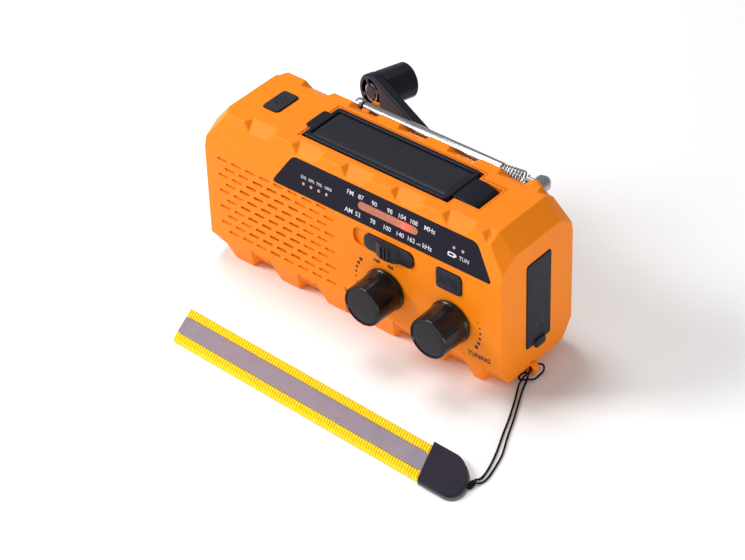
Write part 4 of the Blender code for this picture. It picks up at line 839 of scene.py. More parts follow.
@dataclass
class Case:
    """The two moulded halves, their bumps, grille and openings."""

    half_width: float = 78.0
    half_depth: float = 23.7
    height: float = 75.0
    fold_z: float = 56.5
    rim_y: float = 20.4
    rim_z: float = 71.4
    bump_y: float = 19.4
    notch_y: float = 14.9
    skirt_z: float = 12.5
    top_half_width: float = 70.7
    side_top_z: float = 66.0
    side_bottom_z: float = 4.0
    bottom_half_width: float = 72.0
    corner: tuple[Point, Point, Point] = ((70.7, 14.4, 75.0), (78.0, 15.2, 66.0), (78.0, 22.7, 61.0))
    wall: float = 2.0
    parting_y: float = 1.0
    bump_pitch: float = 25.9
    first_bump: float = -63.3
    bump_count: int = 6
    last_shorter: float = 6.0
    bump_halves: tuple[float, float, float] = (8.35, 5.0, 6.25)
    edge_round: float = 0.5
    screws: tuple[tuple[float, float], ...] = ((-66.0, 17.0), (-66.0, 57.0), (67.0, 16.5), (66.0, 57.5))

    @property
    def lean(self) -> float:
        """How far the dial's face leans back."""
        return math.atan2(self.half_depth - self.rim_y, self.rim_z - self.fold_z)

    def dial_frame(self) -> Matrix:
        """The leaning front's frame: X along the fold, Y up the lean, Z outwards."""
        return face_frame(
            (0.0, -self.half_depth, self.fold_z), (1, 0, 0), (0, math.sin(self.lean), math.cos(self.lean))
        )

    def long_plane(
        self, first: tuple[float, float], second: tuple[float, float], inset: float
    ) -> tuple[Vector, Vector]:
        """A plane that holds X and two (y, z) points, moved inwards."""
        normal = Vector((0, second[0] - first[0], second[1] - first[1])).cross(Vector((1, 0, 0))).normalized()
        point = Vector((0, *first))
        if normal.dot(point - Vector((0, 0, self.height / 2))) < 0:
            normal = -normal
        return point - normal * inset, normal

    def block(self, inset: float, with_bumps: bool) -> Shape:
        """The case as a solid with its bumps running the whole length.

        Args:
            inset: How far every face is moved inwards.
            with_bumps: Whether the long edges reach out to the bumps' ridge.

        Returns:
            The solid.
        """
        shape = Shape()
        reach = (self.half_width - inset, self.half_depth - inset)
        shape.box((-reach[0], -reach[1], inset), (reach[0], reach[1], self.height - inset))
        edge_y = self.bump_y if with_bumps else self.notch_y
        planes = []
        for s in (-1.0, 1.0):
            planes.append(self.long_plane((s * self.half_depth, self.fold_z), (s * self.rim_y, self.rim_z), inset))
            planes.append(self.long_plane((s * self.rim_y, self.rim_z), (s * edge_y, self.height), inset))
            planes.append(self.long_plane((s * self.half_depth, self.skirt_z), (s * edge_y, 0.0), inset))
            for z, rise, run in (
                (self.side_top_z, self.height - self.side_top_z, self.half_width - self.top_half_width),
                (self.side_bottom_z, self.side_bottom_z, self.bottom_half_width - self.half_width),
            ):
                normal = Vector((s * rise, 0, run)).normalized()
                planes.append((Vector((s * self.half_width, 0, z)) - normal * inset, normal))
            for t in (-1.0, 1.0):
                points = [Vector((x * s, y * t, z)) for x, y, z in self.corner]
                normal = (points[1] - points[0]).cross(points[2] - points[0]).normalized()
                normal = -normal if normal.x * s < 0 else normal
                planes.append((points[0] - normal * inset, normal))
        for point, normal in planes:
            shape.slice(point, normal)
        return shape

    def notches(self) -> Shape:
        """The wedges between the bumps, along all four long edges."""
        shape = Shape()
        far = 12.0
        bumps = []
        for index in range(self.bump_count):
            middle = self.first_bump + index * self.bump_pitch
            shorter = self.last_shorter if index == self.bump_count - 1 else 0.0
            left = [middle - half for half in self.bump_halves]
            right = [middle + half - shorter for half in self.bump_halves]
            bumps.append((left, right))
        starts = [[-self.half_width - far] * 3] + [right for _, right in bumps]
        ends = [left for left, _ in bumps] + [[self.half_width + far] * 3]
        rims = (
            ((self.rim_y, self.rim_z), (self.bump_y, self.height), (self.notch_y, self.height)),
            ((self.half_depth, self.skirt_z), (self.bump_y, 0.0), (self.notch_y, 0.0)),
        )
        for side in (-1.0, 1.0):
            for start, end in zip(starts, ends):
                for rim in rims:
                    points = []
                    for edges in (start, end):
                        first, peak, last = (Vector((x, side * y, z)) for x, (y, z) in zip(edges, rim))
                        middle = (first + last) / 2
                        points += [middle + (corner - middle) * 1.03 for corner in (first, last)]
                        points.append(middle + (peak - middle) * 2.4)
                    shape.hull(points)
        return shape

    def shell(self) -> Shape:
        """The whole outer skin as one rounded solid, before it is hollowed and opened."""
        solid = combine(self.block(0.0, True), (Operation.CUT, self.notches()))
        solid.bevel(sharp_edges(solid, 7.0), self.edge_round, 3)
        return solid

    def grille(self) -> Shape:
        """The slots of the grille: deep ones in a circle before the speaker, shallow ones round them."""
        shape = Shape()
        pitch_x, pitch_z, length, height = 7.75, 4.1, 5.5, 1.3
        for row in range(10):
            z = 54.0 - row * pitch_z
            for column in range(8):
                x = -71.0 + length / 2 + column * pitch_x + (pitch_x / 2 if row % 2 else 0.0)
                deep = math.hypot(x + 40.5, z - 34.5) < 18.5
                floor = -18.0 if deep else -self.half_depth + 0.75
                shape.bar(
                    (x - length / 2, -26.0, z - height / 2), (x + length / 2, floor, z + height / 2), 0.6, 1, segments=3
                )
        return shape

    def openings(self) -> list[tuple[Operation, Shape]]:
        """Everything that is cut out of the front, the top and the ends."""
        front = Shape()
        for x, z in ((19.2, 27.7), (53.2, 27.9)):
            front.rod((x, -30, z), (x, -15, z), 4.0)
        front.bar((45.7, -30, 42.2), (58.9, -15, 52.4), 1.9, 1)
        front.bar((2.7, -30, 44.1), (34.7, -self.half_depth + 1.3, 52.5), 3.2, 1)
        stem = Shape()
        stem.box((9.7, -26, 46.3), (27.7, -15, 50.3))
        top = Shape()
        top.box((-34.9, -13.2, 60.0), (43.7, 13.2, 80.0))
        top.bar((-60.0, -6.8, 65.0), (-51.0, 7.8, 80.0), 1.9, 2)
        top.rod((-90, 0, 37), (-70, 0, 37), 10.3, 64)
        top.bar((76.5, -7.2, 13.9), (90.0, 9.0, 56.5), 1.6, 0)
        bay = Shape()
        bay.box((41.4, -9.2, 60.0), (56.3, 9.2, 80.0))
        for low, high in SOCKETS.values():
            bay.box((70, low[0] - 0.3, low[1] - 0.3), (90, high[0] + 0.3, high[1] + 0.3))
        return [
            (Operation.CUT, front),
            (Operation.CUT, stem),
            (Operation.CUT, Dial.pocket(self)),
            (Operation.CUT, self.grille()),
            (Operation.CUT, top),
            (Operation.CUT, bay),
        ]

    def half(self, side: float) -> Shape:
        """One hollow half of the skin, on the -1 (front) or 1 (rear) side of the parting line."""
        spare = Shape()
        start = self.parting_y + side * 0.04
        spare.box((-90, min(start, -60 * side), -20), (90, max(start, -60 * side), 95))
        return combine(self.shell(), (Operation.CUT, spare))

    def front_half(self) -> Shape:
        """The front half with its screw posts and the eye for the cord."""
        posts, holes, lug, web = Shape(), Shape(), Shape(), Shape()
        lug.lathe(
            ((0.0, 3.0), (2.55, 3.0), (2.84, 2.88), (2.95, 2.6), (2.95, 0.4), (2.84, 0.12), (2.55, 0.0), (0.0, 0.0)),
            48,
            face_frame((77.9, -1.6, 3.05), (1, 0, 0), (0, 0, 1)),
        )
        web.hull((x, y, z) for x, z in ((72.0, 1.5), (77.5, 5.6), (74.5, 1.3), (79.3, 5.3)) for y in (-4.4, -1.8))
        holes.rod((78.3, -8.6, 3.05), (78.3, 2.4, 3.05), 1.4, 32)
        for x, z in self.screws:
            posts.rod((x, -22.7, z), (x, 0.7, z), 3.2)
            holes.rod((x, -9.0, z), (x, 8.0, z), 1.5)
        return combine(
            self.half(-1.0),
            (Operation.CUT, self.block(self.wall, False)),
            (Operation.JOIN, posts),
            (Operation.JOIN, lug),
            (Operation.JOIN, web),
            (Operation.CUT, holes),
            *self.openings(),
        )

    def rear_half(self) -> Shape:
        """The rear half with the crank's bay, the aerial's boss and clip and the battery pocket."""
        cup_x = Crank.hub_x + Crank.length
        lump = Shape()
        lump.box((-10.5, 16.6, 43.6), (61.0, 22.4, 64.4))
        cup = Shape()
        cup.rod((cup_x, 2.4, 54.0), (cup_x, 21.0, 54.0), 11.2, 64)
        posts, wells = Shape(), Shape()
        for x, z in self.screws:
            posts.rod((x, 1.3, z), (x, 22.5, z), 4.4)
            wells.rod((x, 8.0, z), (x, 40.0, z), 2.9)
            wells.rod((x, -2.0, z), (x, 8.2, z), 1.5)
        boss = Shape()
        boss.rod((61.0, 17.0, 70.5), (61.0, 21.5, 70.5), 4.0, 48)
        boss.box((-28.6, 18.5, 64.5), (-24.8, 28.2, 72.2), 0.5)
        holes = Shape()
        holes.rod((Crank.hub_x, 18.5, 54.0), (Crank.hub_x, 30.0, 54.0), 11.6, 72)
        holes.rod((Crank.hub_x, 10.0, 54.0), (Crank.hub_x, 18.6, 54.0), 2.6, 32)
        holes.rod((cup_x, 4.0, 54.0), (cup_x, 19.0, 54.0), 9.4, 64)
        holes.rod((61.0, 15.0, 70.5), (61.0, 30.0, 70.5), 1.5, 24)
        clip = Shape()
        clip.rod((-35, 24.1, 70.5), (-20, 24.1, 70.5), 3.0, 48)
        clip.box((-35, 21.12, 70.51), (-20, 27.08, 80.0))
        channel = Shape()
        channel.box((Crank.hub_x, 18.5, 45.1), (58.8, 30.0, 62.9))
        pocket = Shape()
        pocket.box((-42.3, 21.8, -5.0), (35.3, 30.0, 36.8))
        opening = Shape()
        opening.box((-38.5, 15.0, 16.0), (31.5, 30.0, 34.5))
        return combine(
            self.half(1.0),
            (Operation.CUT, self.block(self.wall, False)),
            (Operation.JOIN, lump),
            (Operation.JOIN, cup),
            (Operation.JOIN, posts),
            (Operation.JOIN, boss),
            (Operation.CUT, holes),
            (Operation.CUT, wells),
            (Operation.CUT, clip),
            (Operation.CUT, channel),
            (Operation.CUT, pocket),
            (Operation.CUT, opening),
            *self.openings()[4:],
        )

    def build(self) -> None:
        """Builds both halves, the printing on them and the tray in the top."""
        finish_piece("front_shell", self.front_half(), "orange", "radio", ["front_housing"], 50.0, True)
        finish_piece("rear_shell", self.rear_half(), "orange", "radio", ["rear_housing"], 50.0, True)
        Labels(self).build()
        self.tray()
        self.battery_door()

    def tray(self) -> None:
        """The tray under the solar lid, with the bay for the lid's hinge."""
        tray, bay = Shape(), Shape()
        tray.box((-34.6, -12.9, 68.2), (43.4, 12.9, 74.9))
        bay.box((42.4, -8.9, 66.2), (56.0, 8.9, 74.9))
        hollow, deep, pin = Shape(), Shape(), Shape()
        hollow.box((-33.8, -12.1, 69.4), (42.6, 12.1, 80.0))
        deep.box((40.9, -8.0, 67.2), (55.1, 8.0, 80.0))
        pin.rod((50.4, -8.8, 71.0), (50.4, 8.8, 71.0), 1.3)
        made = combine(
            tray, (Operation.JOIN, bay), (Operation.CUT, hollow), (Operation.CUT, deep), (Operation.CUT, pin)
        )
        rims = sharp_edges(made, 60.0, lambda middle: middle.z > 74.5)
        made.bevel(rims, 0.25, 2)
        finish_piece("lid_tray", made, "orange", "radio", ["lamp_tray"], 40.0, True)

    def battery_door(self) -> None:
        """The sliding door over the cell, with its finger ridges and arrow."""
        door = Shape()
        door.bar((-42.0, 22.1, 14.5), (35.0, 23.6, 36.5), 1.6, 1, 0.25)
        ridges = Shape()
        for index in range(7):
            z = 17.6 + index * 1.7
            ridges.box((-12.0, 23.35, z), (5.0, 23.75, z + 0.7), 0.18, 2)
        for index in range(5):
            half = 4.2 - index * 0.95
            z = 33.6 - index * 1.0
            ridges.box((-3.5 - half, 23.35, z), (-3.5 + half, 23.75, z + 0.6), 0.15, 2)
        finish_piece("battery_door_plate", door, "orange", "door", ["battery_door"], 40.0, True)
        finish_piece("battery_door_ridges", ridges, "orange", "door")


SOCKETS: dict[str, tuple[tuple[float, float], tuple[float, float]]] = {
    "usb_socket": ((-5.6, 23.5), (7.4, 29.2)),
    "charging_socket": ((-2.9, 35.5), (4.7, 38.5)),
    "earphone_socket": ((-2.3, 44.5), (4.1, 50.9)),
}


@dataclass
class Labels:
    """Printing on the front: the switch's words, the knobs' words and their growing dots."""

    case: Case
    word_height: float = 2.15

    def on_front(self, x: float, z: float) -> Matrix:
        """The frame of a spot on the front face."""
        return face_frame((x, -self.case.half_depth - 0.03, z), (1, 0, 0), (0, 0, 1))

    def build(self) -> None:
        """Prints everything in black."""
        ink = Shape()
        ink.text("AM", 1.7, self.on_front(14.8, 40.0), bold=0.09)
        ink.text("FM", 1.7, self.on_front(22.0, 39.8), bold=0.09)
        ink.text("VOLUME", self.word_height, self.on_front(2.6, 16.6), bold=0.09)
        ink.text("TUNING", self.word_height, self.on_front(67.2, 16.1), bold=0.09)
        sizes = [0.32 + 0.12 * index for index in range(6)]
        for index, size in enumerate(sizes):
            turn = math.radians(192.0 - index * 9.6)
            x = 19.2 + 15.7 * math.cos(turn)
            z = 27.7 + 15.7 * math.sin(turn)
            ink.rod((x, -self.case.half_depth - 0.06, z), (x, -self.case.half_depth + 0.02, z), size, 20)
            turn = math.radians(22.0 - index * 10.4)
            x = 53.2 + 14.6 * math.cos(turn)
            z = 27.9 + 14.6 * math.sin(turn)
            ink.rod((x, -self.case.half_depth - 0.06, z), (x, -self.case.half_depth + 0.02, z), size, 20)
        finish_piece("front_printing", ink, "ink_black", "radio")


@dataclass
class Dial:
    """The dark panel with its scales, the salmon window, the pointer and the small lights."""

    case: Case
    thick: float = 1.1
    numbers: float = 2.05
    fm_row: float = 9.9
    am_row: float = 2.05
    fm_marks: dict[str, float] = field(
        default_factory=lambda: {"FM": 0.2, "87": 5.7, "90": 12.7, "98": 20.7, "104": 26.9, "108": 32.9, "MHz": 41.0}
    )
    am_marks: dict[str, float] = field(
        default_factory=lambda: {"AM": 0.4, "52": 5.2, "70": 13.0, "100": 20.3, "140": 27.0, "162": 32.7, "kHz": 40.9}
    )
    charge_lights: tuple[float, ...] = (-24.0, -19.9, -15.8, -11.7)
    charge_row: float = 4.1
    state_lights: tuple[float, ...] = (53.6, 58.0)
    state_row: float = 7.3
    charge_marks: dict[str, float] = field(
        default_factory=lambda: {"25%": -24.3, "50%": -20.1, "75%": -15.9, "100%": -11.2}
    )

    @staticmethod
    def outline(shape: Shape, grow: float, low: float, high: float, lip: float = 0.0) -> None:
        """Adds the panel's trapezoid, in the leaning front's frame.

        Args:
            shape: Where it goes.
            grow: How much larger than the panel it is all round.
            low: Its lower face above the leaning front.
            high: Its upper face.
            lip: Radius of its upper edge, or 0.
        """
        low_v, high_v, low_half, high_half, centre = -0.9, 14.0, 57.0, 47.5, 16.6
        verts = shape.box((-1.0, low_v - grow, low), (1.0, high_v + grow, high))
        edges = {edge for vert in verts for edge in vert.link_edges}
        for vert in verts:
            share = (vert.co.y - low_v) / (high_v - low_v)
            half = low_half + (high_half - low_half) * share + grow
            vert.co.x = centre + math.copysign(half, vert.co.x)
        upright = [edge for edge in edges if abs(edge.verts[0].co.z - edge.verts[1].co.z) > 1e-6]
        made = shape.bevel(upright, 2.4, 8)
        if lip:
            tops = {face for vert in made for face in vert.link_faces if face.normal.z > 0.99}
            shape.bevel(shape.rim_of(tops), lip, 3)

    @classmethod
    def light_holes(cls, shape: Shape, top: float, radius: float, sides: int) -> None:
        """Adds a rod at every small light, up to a height over the leaning front."""
        for row, places in ((cls.charge_row, cls.charge_lights), (cls.state_row, cls.state_lights)):
            for x in places:
                shape.rod((x, row, -6.0), (x, row, top), radius, sides)

    @classmethod
    def pocket(cls, case: Case) -> Shape:
        """What is cut out of the case for the panel and what shows through it."""
        shape = Shape()
        cls.outline(shape, 0.18, -1.4, 6.0)
        shape.box((2.7, 3.4, -6.0), (37.1, 9.4, 0.0))
        cls.light_holes(shape, 0.0, 1.35, 16)
        return shape.move(case.dial_frame())

    def spot(self, x: float, v: float, lift: float = -0.07) -> Matrix:
        """The frame of a spot on the panel's face."""
        return self.case.dial_frame() @ Matrix.Translation((x, v, lift))

    def build(self) -> None:
        """Builds the panel, its printing and its lights."""
        plate, slot = Shape(), Shape()
        self.outline(plate, 0.0, -self.thick, -0.1, 0.18)
        slot.bar((4.2, 4.4, -6.0), (35.6, 8.4, 3.0), 1.95, 2, segments=10)
        self.light_holes(slot, 3.0, 0.95, 24)
        made = combine(plate, (Operation.CUT, slot)).move(self.case.dial_frame())
        finish_piece("dial_face", made, "panel", "radio", ["dial_panel"], 40.0, True)
        self.window()
        self.printing()
        self.lights()

    def window(self) -> None:
        """The salmon window in the slot and the pointer behind it."""
        window, backing = Shape(), Shape()
        window.bar((4.5, 4.7, -1.6), (35.3, 8.1, -0.12), 1.68, 2, 0.2, 10)
        backing.box((1.4, 2.4, -4.0), (38.4, 10.4, -3.0), 0.2, 2)
        place = self.case.dial_frame()
        finish_piece("scale_window", window.move(place), "window", "radio", (), 40.0, True)
        finish_piece("scale_backing", backing.move(place), "salmon", "radio", ["dial_scale_backing"], 40.0, True)
        needle = Shape()
        # The pointer's glow is painted light, so that it shows through the window.
        needle.box((26.3, 3.8, -2.7), (28.1, 9.0, -1.9), 0.2, 2)
        finish_piece("scale_pointer", needle.move(self.case.dial_frame()), "pointer", "pointer", ["tuning_pointer"])

    def printing(self) -> None:
        """The white numbers and signs."""
        ink = Shape()
        for row, marks in ((self.fm_row, self.fm_marks), (self.am_row, self.am_marks)):
            for words, x in marks.items():
                size = self.numbers * (1.05 if words.isalpha() else 1.0)
                ink.text(words, size, self.spot(x, row), bold=0.012)
        ink.text("x10", 1.0, self.spot(36.6, self.am_row - 0.4))
        for words, x in self.charge_marks.items():
            ink.text(words, 1.35, self.spot(x, 6.95))
        ink.text("TUN", 1.75, self.spot(59.2, 4.0))
        finish_piece("dial_numbers", ink, "ink_white", "radio")
        rim, inside = Shape(), Shape()
        rim.bar((51.0, 3.1, -0.12), (54.8, 5.0, -0.03), 0.6, 2, segments=4)
        rim.box((54.7, 3.6, -0.12), (55.3, 4.5, -0.03))
        inside.bar((51.6, 3.6, -1.0), (54.0, 4.5, 1.0), 0.35, 2, segments=4)
        battery = combine(rim, (Operation.CUT, inside)).move(self.case.dial_frame())
        finish_piece("battery_sign", battery, "ink_white", "radio")

    def lights(self) -> None:
        """The round tips of the two light guides."""
        for name, node, places, v in (
            ("charge_lights", "charge_light_guide", self.charge_lights, self.charge_row),
            ("state_lights", "state_light_guide", self.state_lights, self.state_row),
        ):
            guide = Shape()
            guide.box((places[0] - 2.0, v - 1.8, -4.4), (places[-1] + 2.0, v + 1.8, -2.6), 0.3, 2)
            for x in places:
                profile = ((0.0, 0.12), (0.4, 0.06), (0.66, -0.1), (0.74, -0.35), (0.75, -3.0), (0.0, -3.0))
                guide.lathe(profile, 24, Matrix.Translation((x, v, 0.0)))
            finish_piece(name, guide.move(self.case.dial_frame()), "pip", "radio", [node])


@dataclass
class Controls:
    """The two knobs, the band switch and the two rubber buttons."""

    case: Case
    knob_radius: float = 9.3
    knob_length: float = 14.7
    flutes: int = 40

    def knob(self, name: str, body: str, node: str, x: float, z: float) -> None:
        """One fluted knob with its flange and satin cap.

        Args:
            name: The piece's name.
            body: The body it turns with.
            node: The node it replaces.
            x: Its axis across the front.
            z: Its axis above the table.
        """
        place = face_frame((x, -self.case.half_depth - 0.5, z), (1, 0, 0), (0, 0, 1))
        top = self.knob_length
        radius = self.knob_radius
        profile = (
            (radius - 1.15, top - 0.45),
            (radius - 0.95, top - 0.05),
            (radius - 0.72, top),
            (radius - 0.38, top - 0.06),
            (radius - 0.16, top - 0.34),
            (radius - 0.08, top - 0.8),
            (radius + 0.06, 1.9),
            (radius + 0.2, 1.45),
            (radius + 0.45, 1.25),
            (radius + 0.58, 1.0),
            (radius + 0.6, 0.3),
            (radius + 0.5, 0.0),
            (3.4, 0.0),
            (3.4, 9.0),
            (0.0, 9.0),
        )
        body_shape = Shape()
        closed = ((0.0, top - 0.45), *profile)
        body_shape.lathe(closed, self.flutes * 4)
        for vert in body_shape.mesh.verts:
            reach = math.hypot(vert.co.x, vert.co.y)
            if reach > radius - 0.2 and 1.8 < vert.co.z < top - 0.3:
                turn = math.atan2(vert.co.y, vert.co.x)
                groove = 0.07 * (0.5 + 0.5 * math.cos(turn * self.flutes))
                vert.co.x -= groove * math.cos(turn)
                vert.co.y -= groove * math.sin(turn)
        finish_piece(name, body_shape.move(place), "knob", body, [node], 30.0)
        cap = Shape()
        edge = radius - 1.2
        cap.lathe(
            (
                (0.0, top - 0.22), (edge * 0.75, top - 0.24), (edge - 0.25, top - 0.3), (edge, top - 0.5),
                (0.0, top - 0.5),
            ),
            72,
        )
        finish_piece(f"{name}_cap", cap.move(place), "cap", body)

    def band_switch(self) -> None:
        """The sliding cap with a hollow-sided grip and its ribs."""
        y = -self.case.half_depth
        cap = Shape()
        cap.bar((8.9, y - 0.9, 44.5), (34.3, y + 0.9, 52.1), 2.9, 1, 0.35, 8)
        grip = Shape()
        rows = []
        for step in range(13):
            share = step / 12
            rise = math.sin(math.pi * share) ** 0.55
            rows.append((21.6 - 6.6 + 13.2 * share, 0.5 + 2.5 * rise))
        for (x0, h0), (x1, h1) in zip(rows, rows[1:]):
            section = ((x0, h0), (x1, h1), (x0, -0.2), (x1, -0.2))
            grip.hull((x, y - h, z) for x, h in section for z in (44.85, 51.75))
        ribs = Shape()
        for index in range(3):
            x = 19.6 + index * 1.9
            ribs.box((x - 0.4, y - 3.55, 45.2), (x + 0.4, y - 2.6, 51.4), 0.25, 2)
        made = combine(cap, (Operation.JOIN, grip))
        finish_piece("band_switch_slider", made, "cap", "band", ["band_switch_cap"], 32.0)
        finish_piece("band_switch_ribs", ribs, "cap", "band")

    def buttons(self) -> None:
        """The SOS button on the front and the lamp button on the top."""
        y = -self.case.half_depth
        sos = Shape()
        sos.bar((46.0, y - 0.9, 42.5), (58.6, -19.5, 52.1), 1.7, 1, 0.45)
        finish_piece("sos_key", sos, "rubber", "sos", ["sos_button"], 40.0, True)
        word = Shape()
        word.text("SOS", 4.1, face_frame((52.3, y - 1.0, 47.3), (1, 0, 0), (0, 0, 1)), 0.3, 0.03)
        finish_piece("sos_word", word, "cap", "sos")
        lamp = Shape()
        lamp.bar((-59.7, -6.5, 70.5), (-51.3, 7.5, 75.8), 1.7, 2, 0.45)
        finish_piece("lamp_key", lamp, "rubber", "lamp_switch", ["lamp_button"], 40.0, True)
        sign = Shape()
        middle = Matrix.Translation((-55.5, 0.5, 0.0))
        for index in range(8):
            turn = Matrix.Rotation(math.radians(45.0 * index), 4, "Z")
            ray = Shape()
            ray.box((1.7, -0.22, 75.75), (3.2, 0.22, 75.98), 0.08, 2)
            sign.take(ray.move(middle @ turn))
        sign.lathe(((0.0, 75.98), (1.0, 75.98), (1.15, 75.9), (1.15, 75.75), (0.0, 75.75)), 32, middle)
        finish_piece("lamp_sign", sign, "cap", "lamp_switch")

    def build(self) -> None:
        """Builds every control."""
        self.knob("volume_dial", "volume", "volume_knob", 19.2, 27.7)
        self.knob("tuning_dial", "tuning", "tuning_knob", 53.2, 27.9)
        self.band_switch()
        self.buttons()


@dataclass
class SolarLid:
    """The black lid with its solar cell, finger tab and curved hinge arm, and the lamp beneath it."""

    left: float = -33.4
    right: float = 41.5
    half_y: float = 11.7
    bottom: float = 72.6
    top: float = 75.8
    hinge: tuple[float, float] = (50.4, 71.0)

    def lid(self) -> Shape:
        """The lid's frame with its hinge arm and tab."""
        plate = Shape()
        plate.bar((self.left, -self.half_y, self.bottom), (self.right, self.half_y, self.top), 2.0, 2, 0.55)
        arm = Shape()
        half = 7.6
        profile = [(self.right - 1.5, self.bottom), (self.right - 1.5, 75.2), (46.4, 75.1), (47.8, 69.2)]
        for step in range(17):
            turn = math.radians(-100.0 + 200.0 * step / 16)
            profile.append((self.hinge[0] + 3.1 * math.cos(turn), self.hinge[1] + 3.1 * math.sin(turn)))
        arm.hull((x, y, z) for x, z in profile for y in (-half, half))
        arm.bevel(sharp_edges(arm, 50.0, lambda middle: abs(middle.y) > half - 0.01), 0.35, 2)
        tab = Shape()
        tab.bar((self.left - 3.2, -6.2, 75.3), (self.left + 2.0, 6.2, 75.78), 1.4, 2, 0.15)
        recess, pin = Shape(), Shape()
        recess.bar(
            (self.left + 2.2, -self.half_y + 2.2, 74.2), (self.right - 2.0, self.half_y - 2.2, 80.0), 1.0, 2
        )
        pin.rod((self.hinge[0], -20, self.hinge[1]), (self.hinge[0], 20, self.hinge[1]), 1.35)
        made = combine(
            plate, (Operation.JOIN, arm), (Operation.JOIN, tab), (Operation.CUT, recess), (Operation.CUT, pin)
        )
        made.bevel(sharp_edges(made, 60.0, lambda m: m.z > self.top - 0.05 and abs(m.y) < self.half_y - 1.9), 0.5, 3)
        return made

    def cell(self) -> Shape:
        """The cell: a low pillow with fine ridges along its collector lines."""
        x0, x1 = self.left + 2.5, self.right - 2.3
        y0, y1 = -self.half_y + 2.5, self.half_y - 2.5
        shape = Shape()
        columns, rows, rim = 300, 16, 1.6
        bmesh.ops.create_grid(shape.mesh, x_segments=columns, y_segments=rows, size=0.5)
        for vert in shape.mesh.verts:
            u, v = vert.co.x * 2, vert.co.y * 2
            edge = min(1.0, (1 - abs(u)) * (x1 - x0) / 2 / rim) ** 0.5
            edge *= min(1.0, (1 - abs(v)) * (y1 - y0) / 2 / rim) ** 0.5
            vert.co.x = (x0 + x1) / 2 + u * (x1 - x0) / 2
            vert.co.y = (y0 + y1) / 2 + v * (y1 - y0) / 2
            inner = max(0.0, edge - 0.75) * 4
            ridge = 0.02 * inner * math.cos(2 * math.pi * vert.co.x / SOLAR_PITCH)
            vert.co.z = 74.95 + edge * (0.3 + 0.12 * (1 - v * v)) + ridge
        border = [edge for edge in shape.mesh.edges if edge.is_boundary]
        made = bmesh.ops.extrude_edge_only(shape.mesh, edges=border)["geom"]
        low = [item for item in made if isinstance(item, bmesh.types.BMVert)]
        for vert in low:
            vert.co.z = 74.45
        bmesh.ops.contextual_create(shape.mesh, geom=[e for e in shape.mesh.edges if e.is_boundary])
        return shape

    def lamp(self) -> None:
        """The lamp under the lid: board, light chips and ribbed lens."""
        board, chips, lens = Shape(), Shape(), Shape()
        board.box((-22.0, -7.0, 69.7), (28.0, 7.0, 70.5), 0.1, 1)
        for column in range(10):
            for y in (-2.6, 2.6):
                x = -17.0 + column * 4.45
                chips.box((x - 0.75, y - 0.6, 70.45), (x + 0.75, y + 0.6, 70.75), 0.1, 2)
        lens.bar((-20.0, -6.0, 70.8), (26.0, 6.0, 72.0), 2.0, 2, 0.3)
        for index in range(21):
            x = -17.0 + index * 2.0
            lens.box((x - 0.35, -5.0, 71.9), (x + 0.35, 5.0, 72.2), 0.12, 2)
        finish_piece("lamp_board", board, "board", "radio", ["reading_lamp_board"])
        finish_piece("lamp_chips", chips, "led", "radio")
        finish_piece("lamp_lens", lens, "diffuser", "radio", ["reading_lamp_lens"], 40.0, True)

    def build(self) -> None:
        """Builds the lid, the cell and the lamp."""
        finish_piece("lid_frame", self.lid(), "black", "lid", ["solar_lid"], 40.0, True)
        finish_piece("solar_strips", self.cell(), "solar", "lid", ["solar_cell"], 60.0)
        dress("steel", "lid_hinge_pin")
        self.lamp()


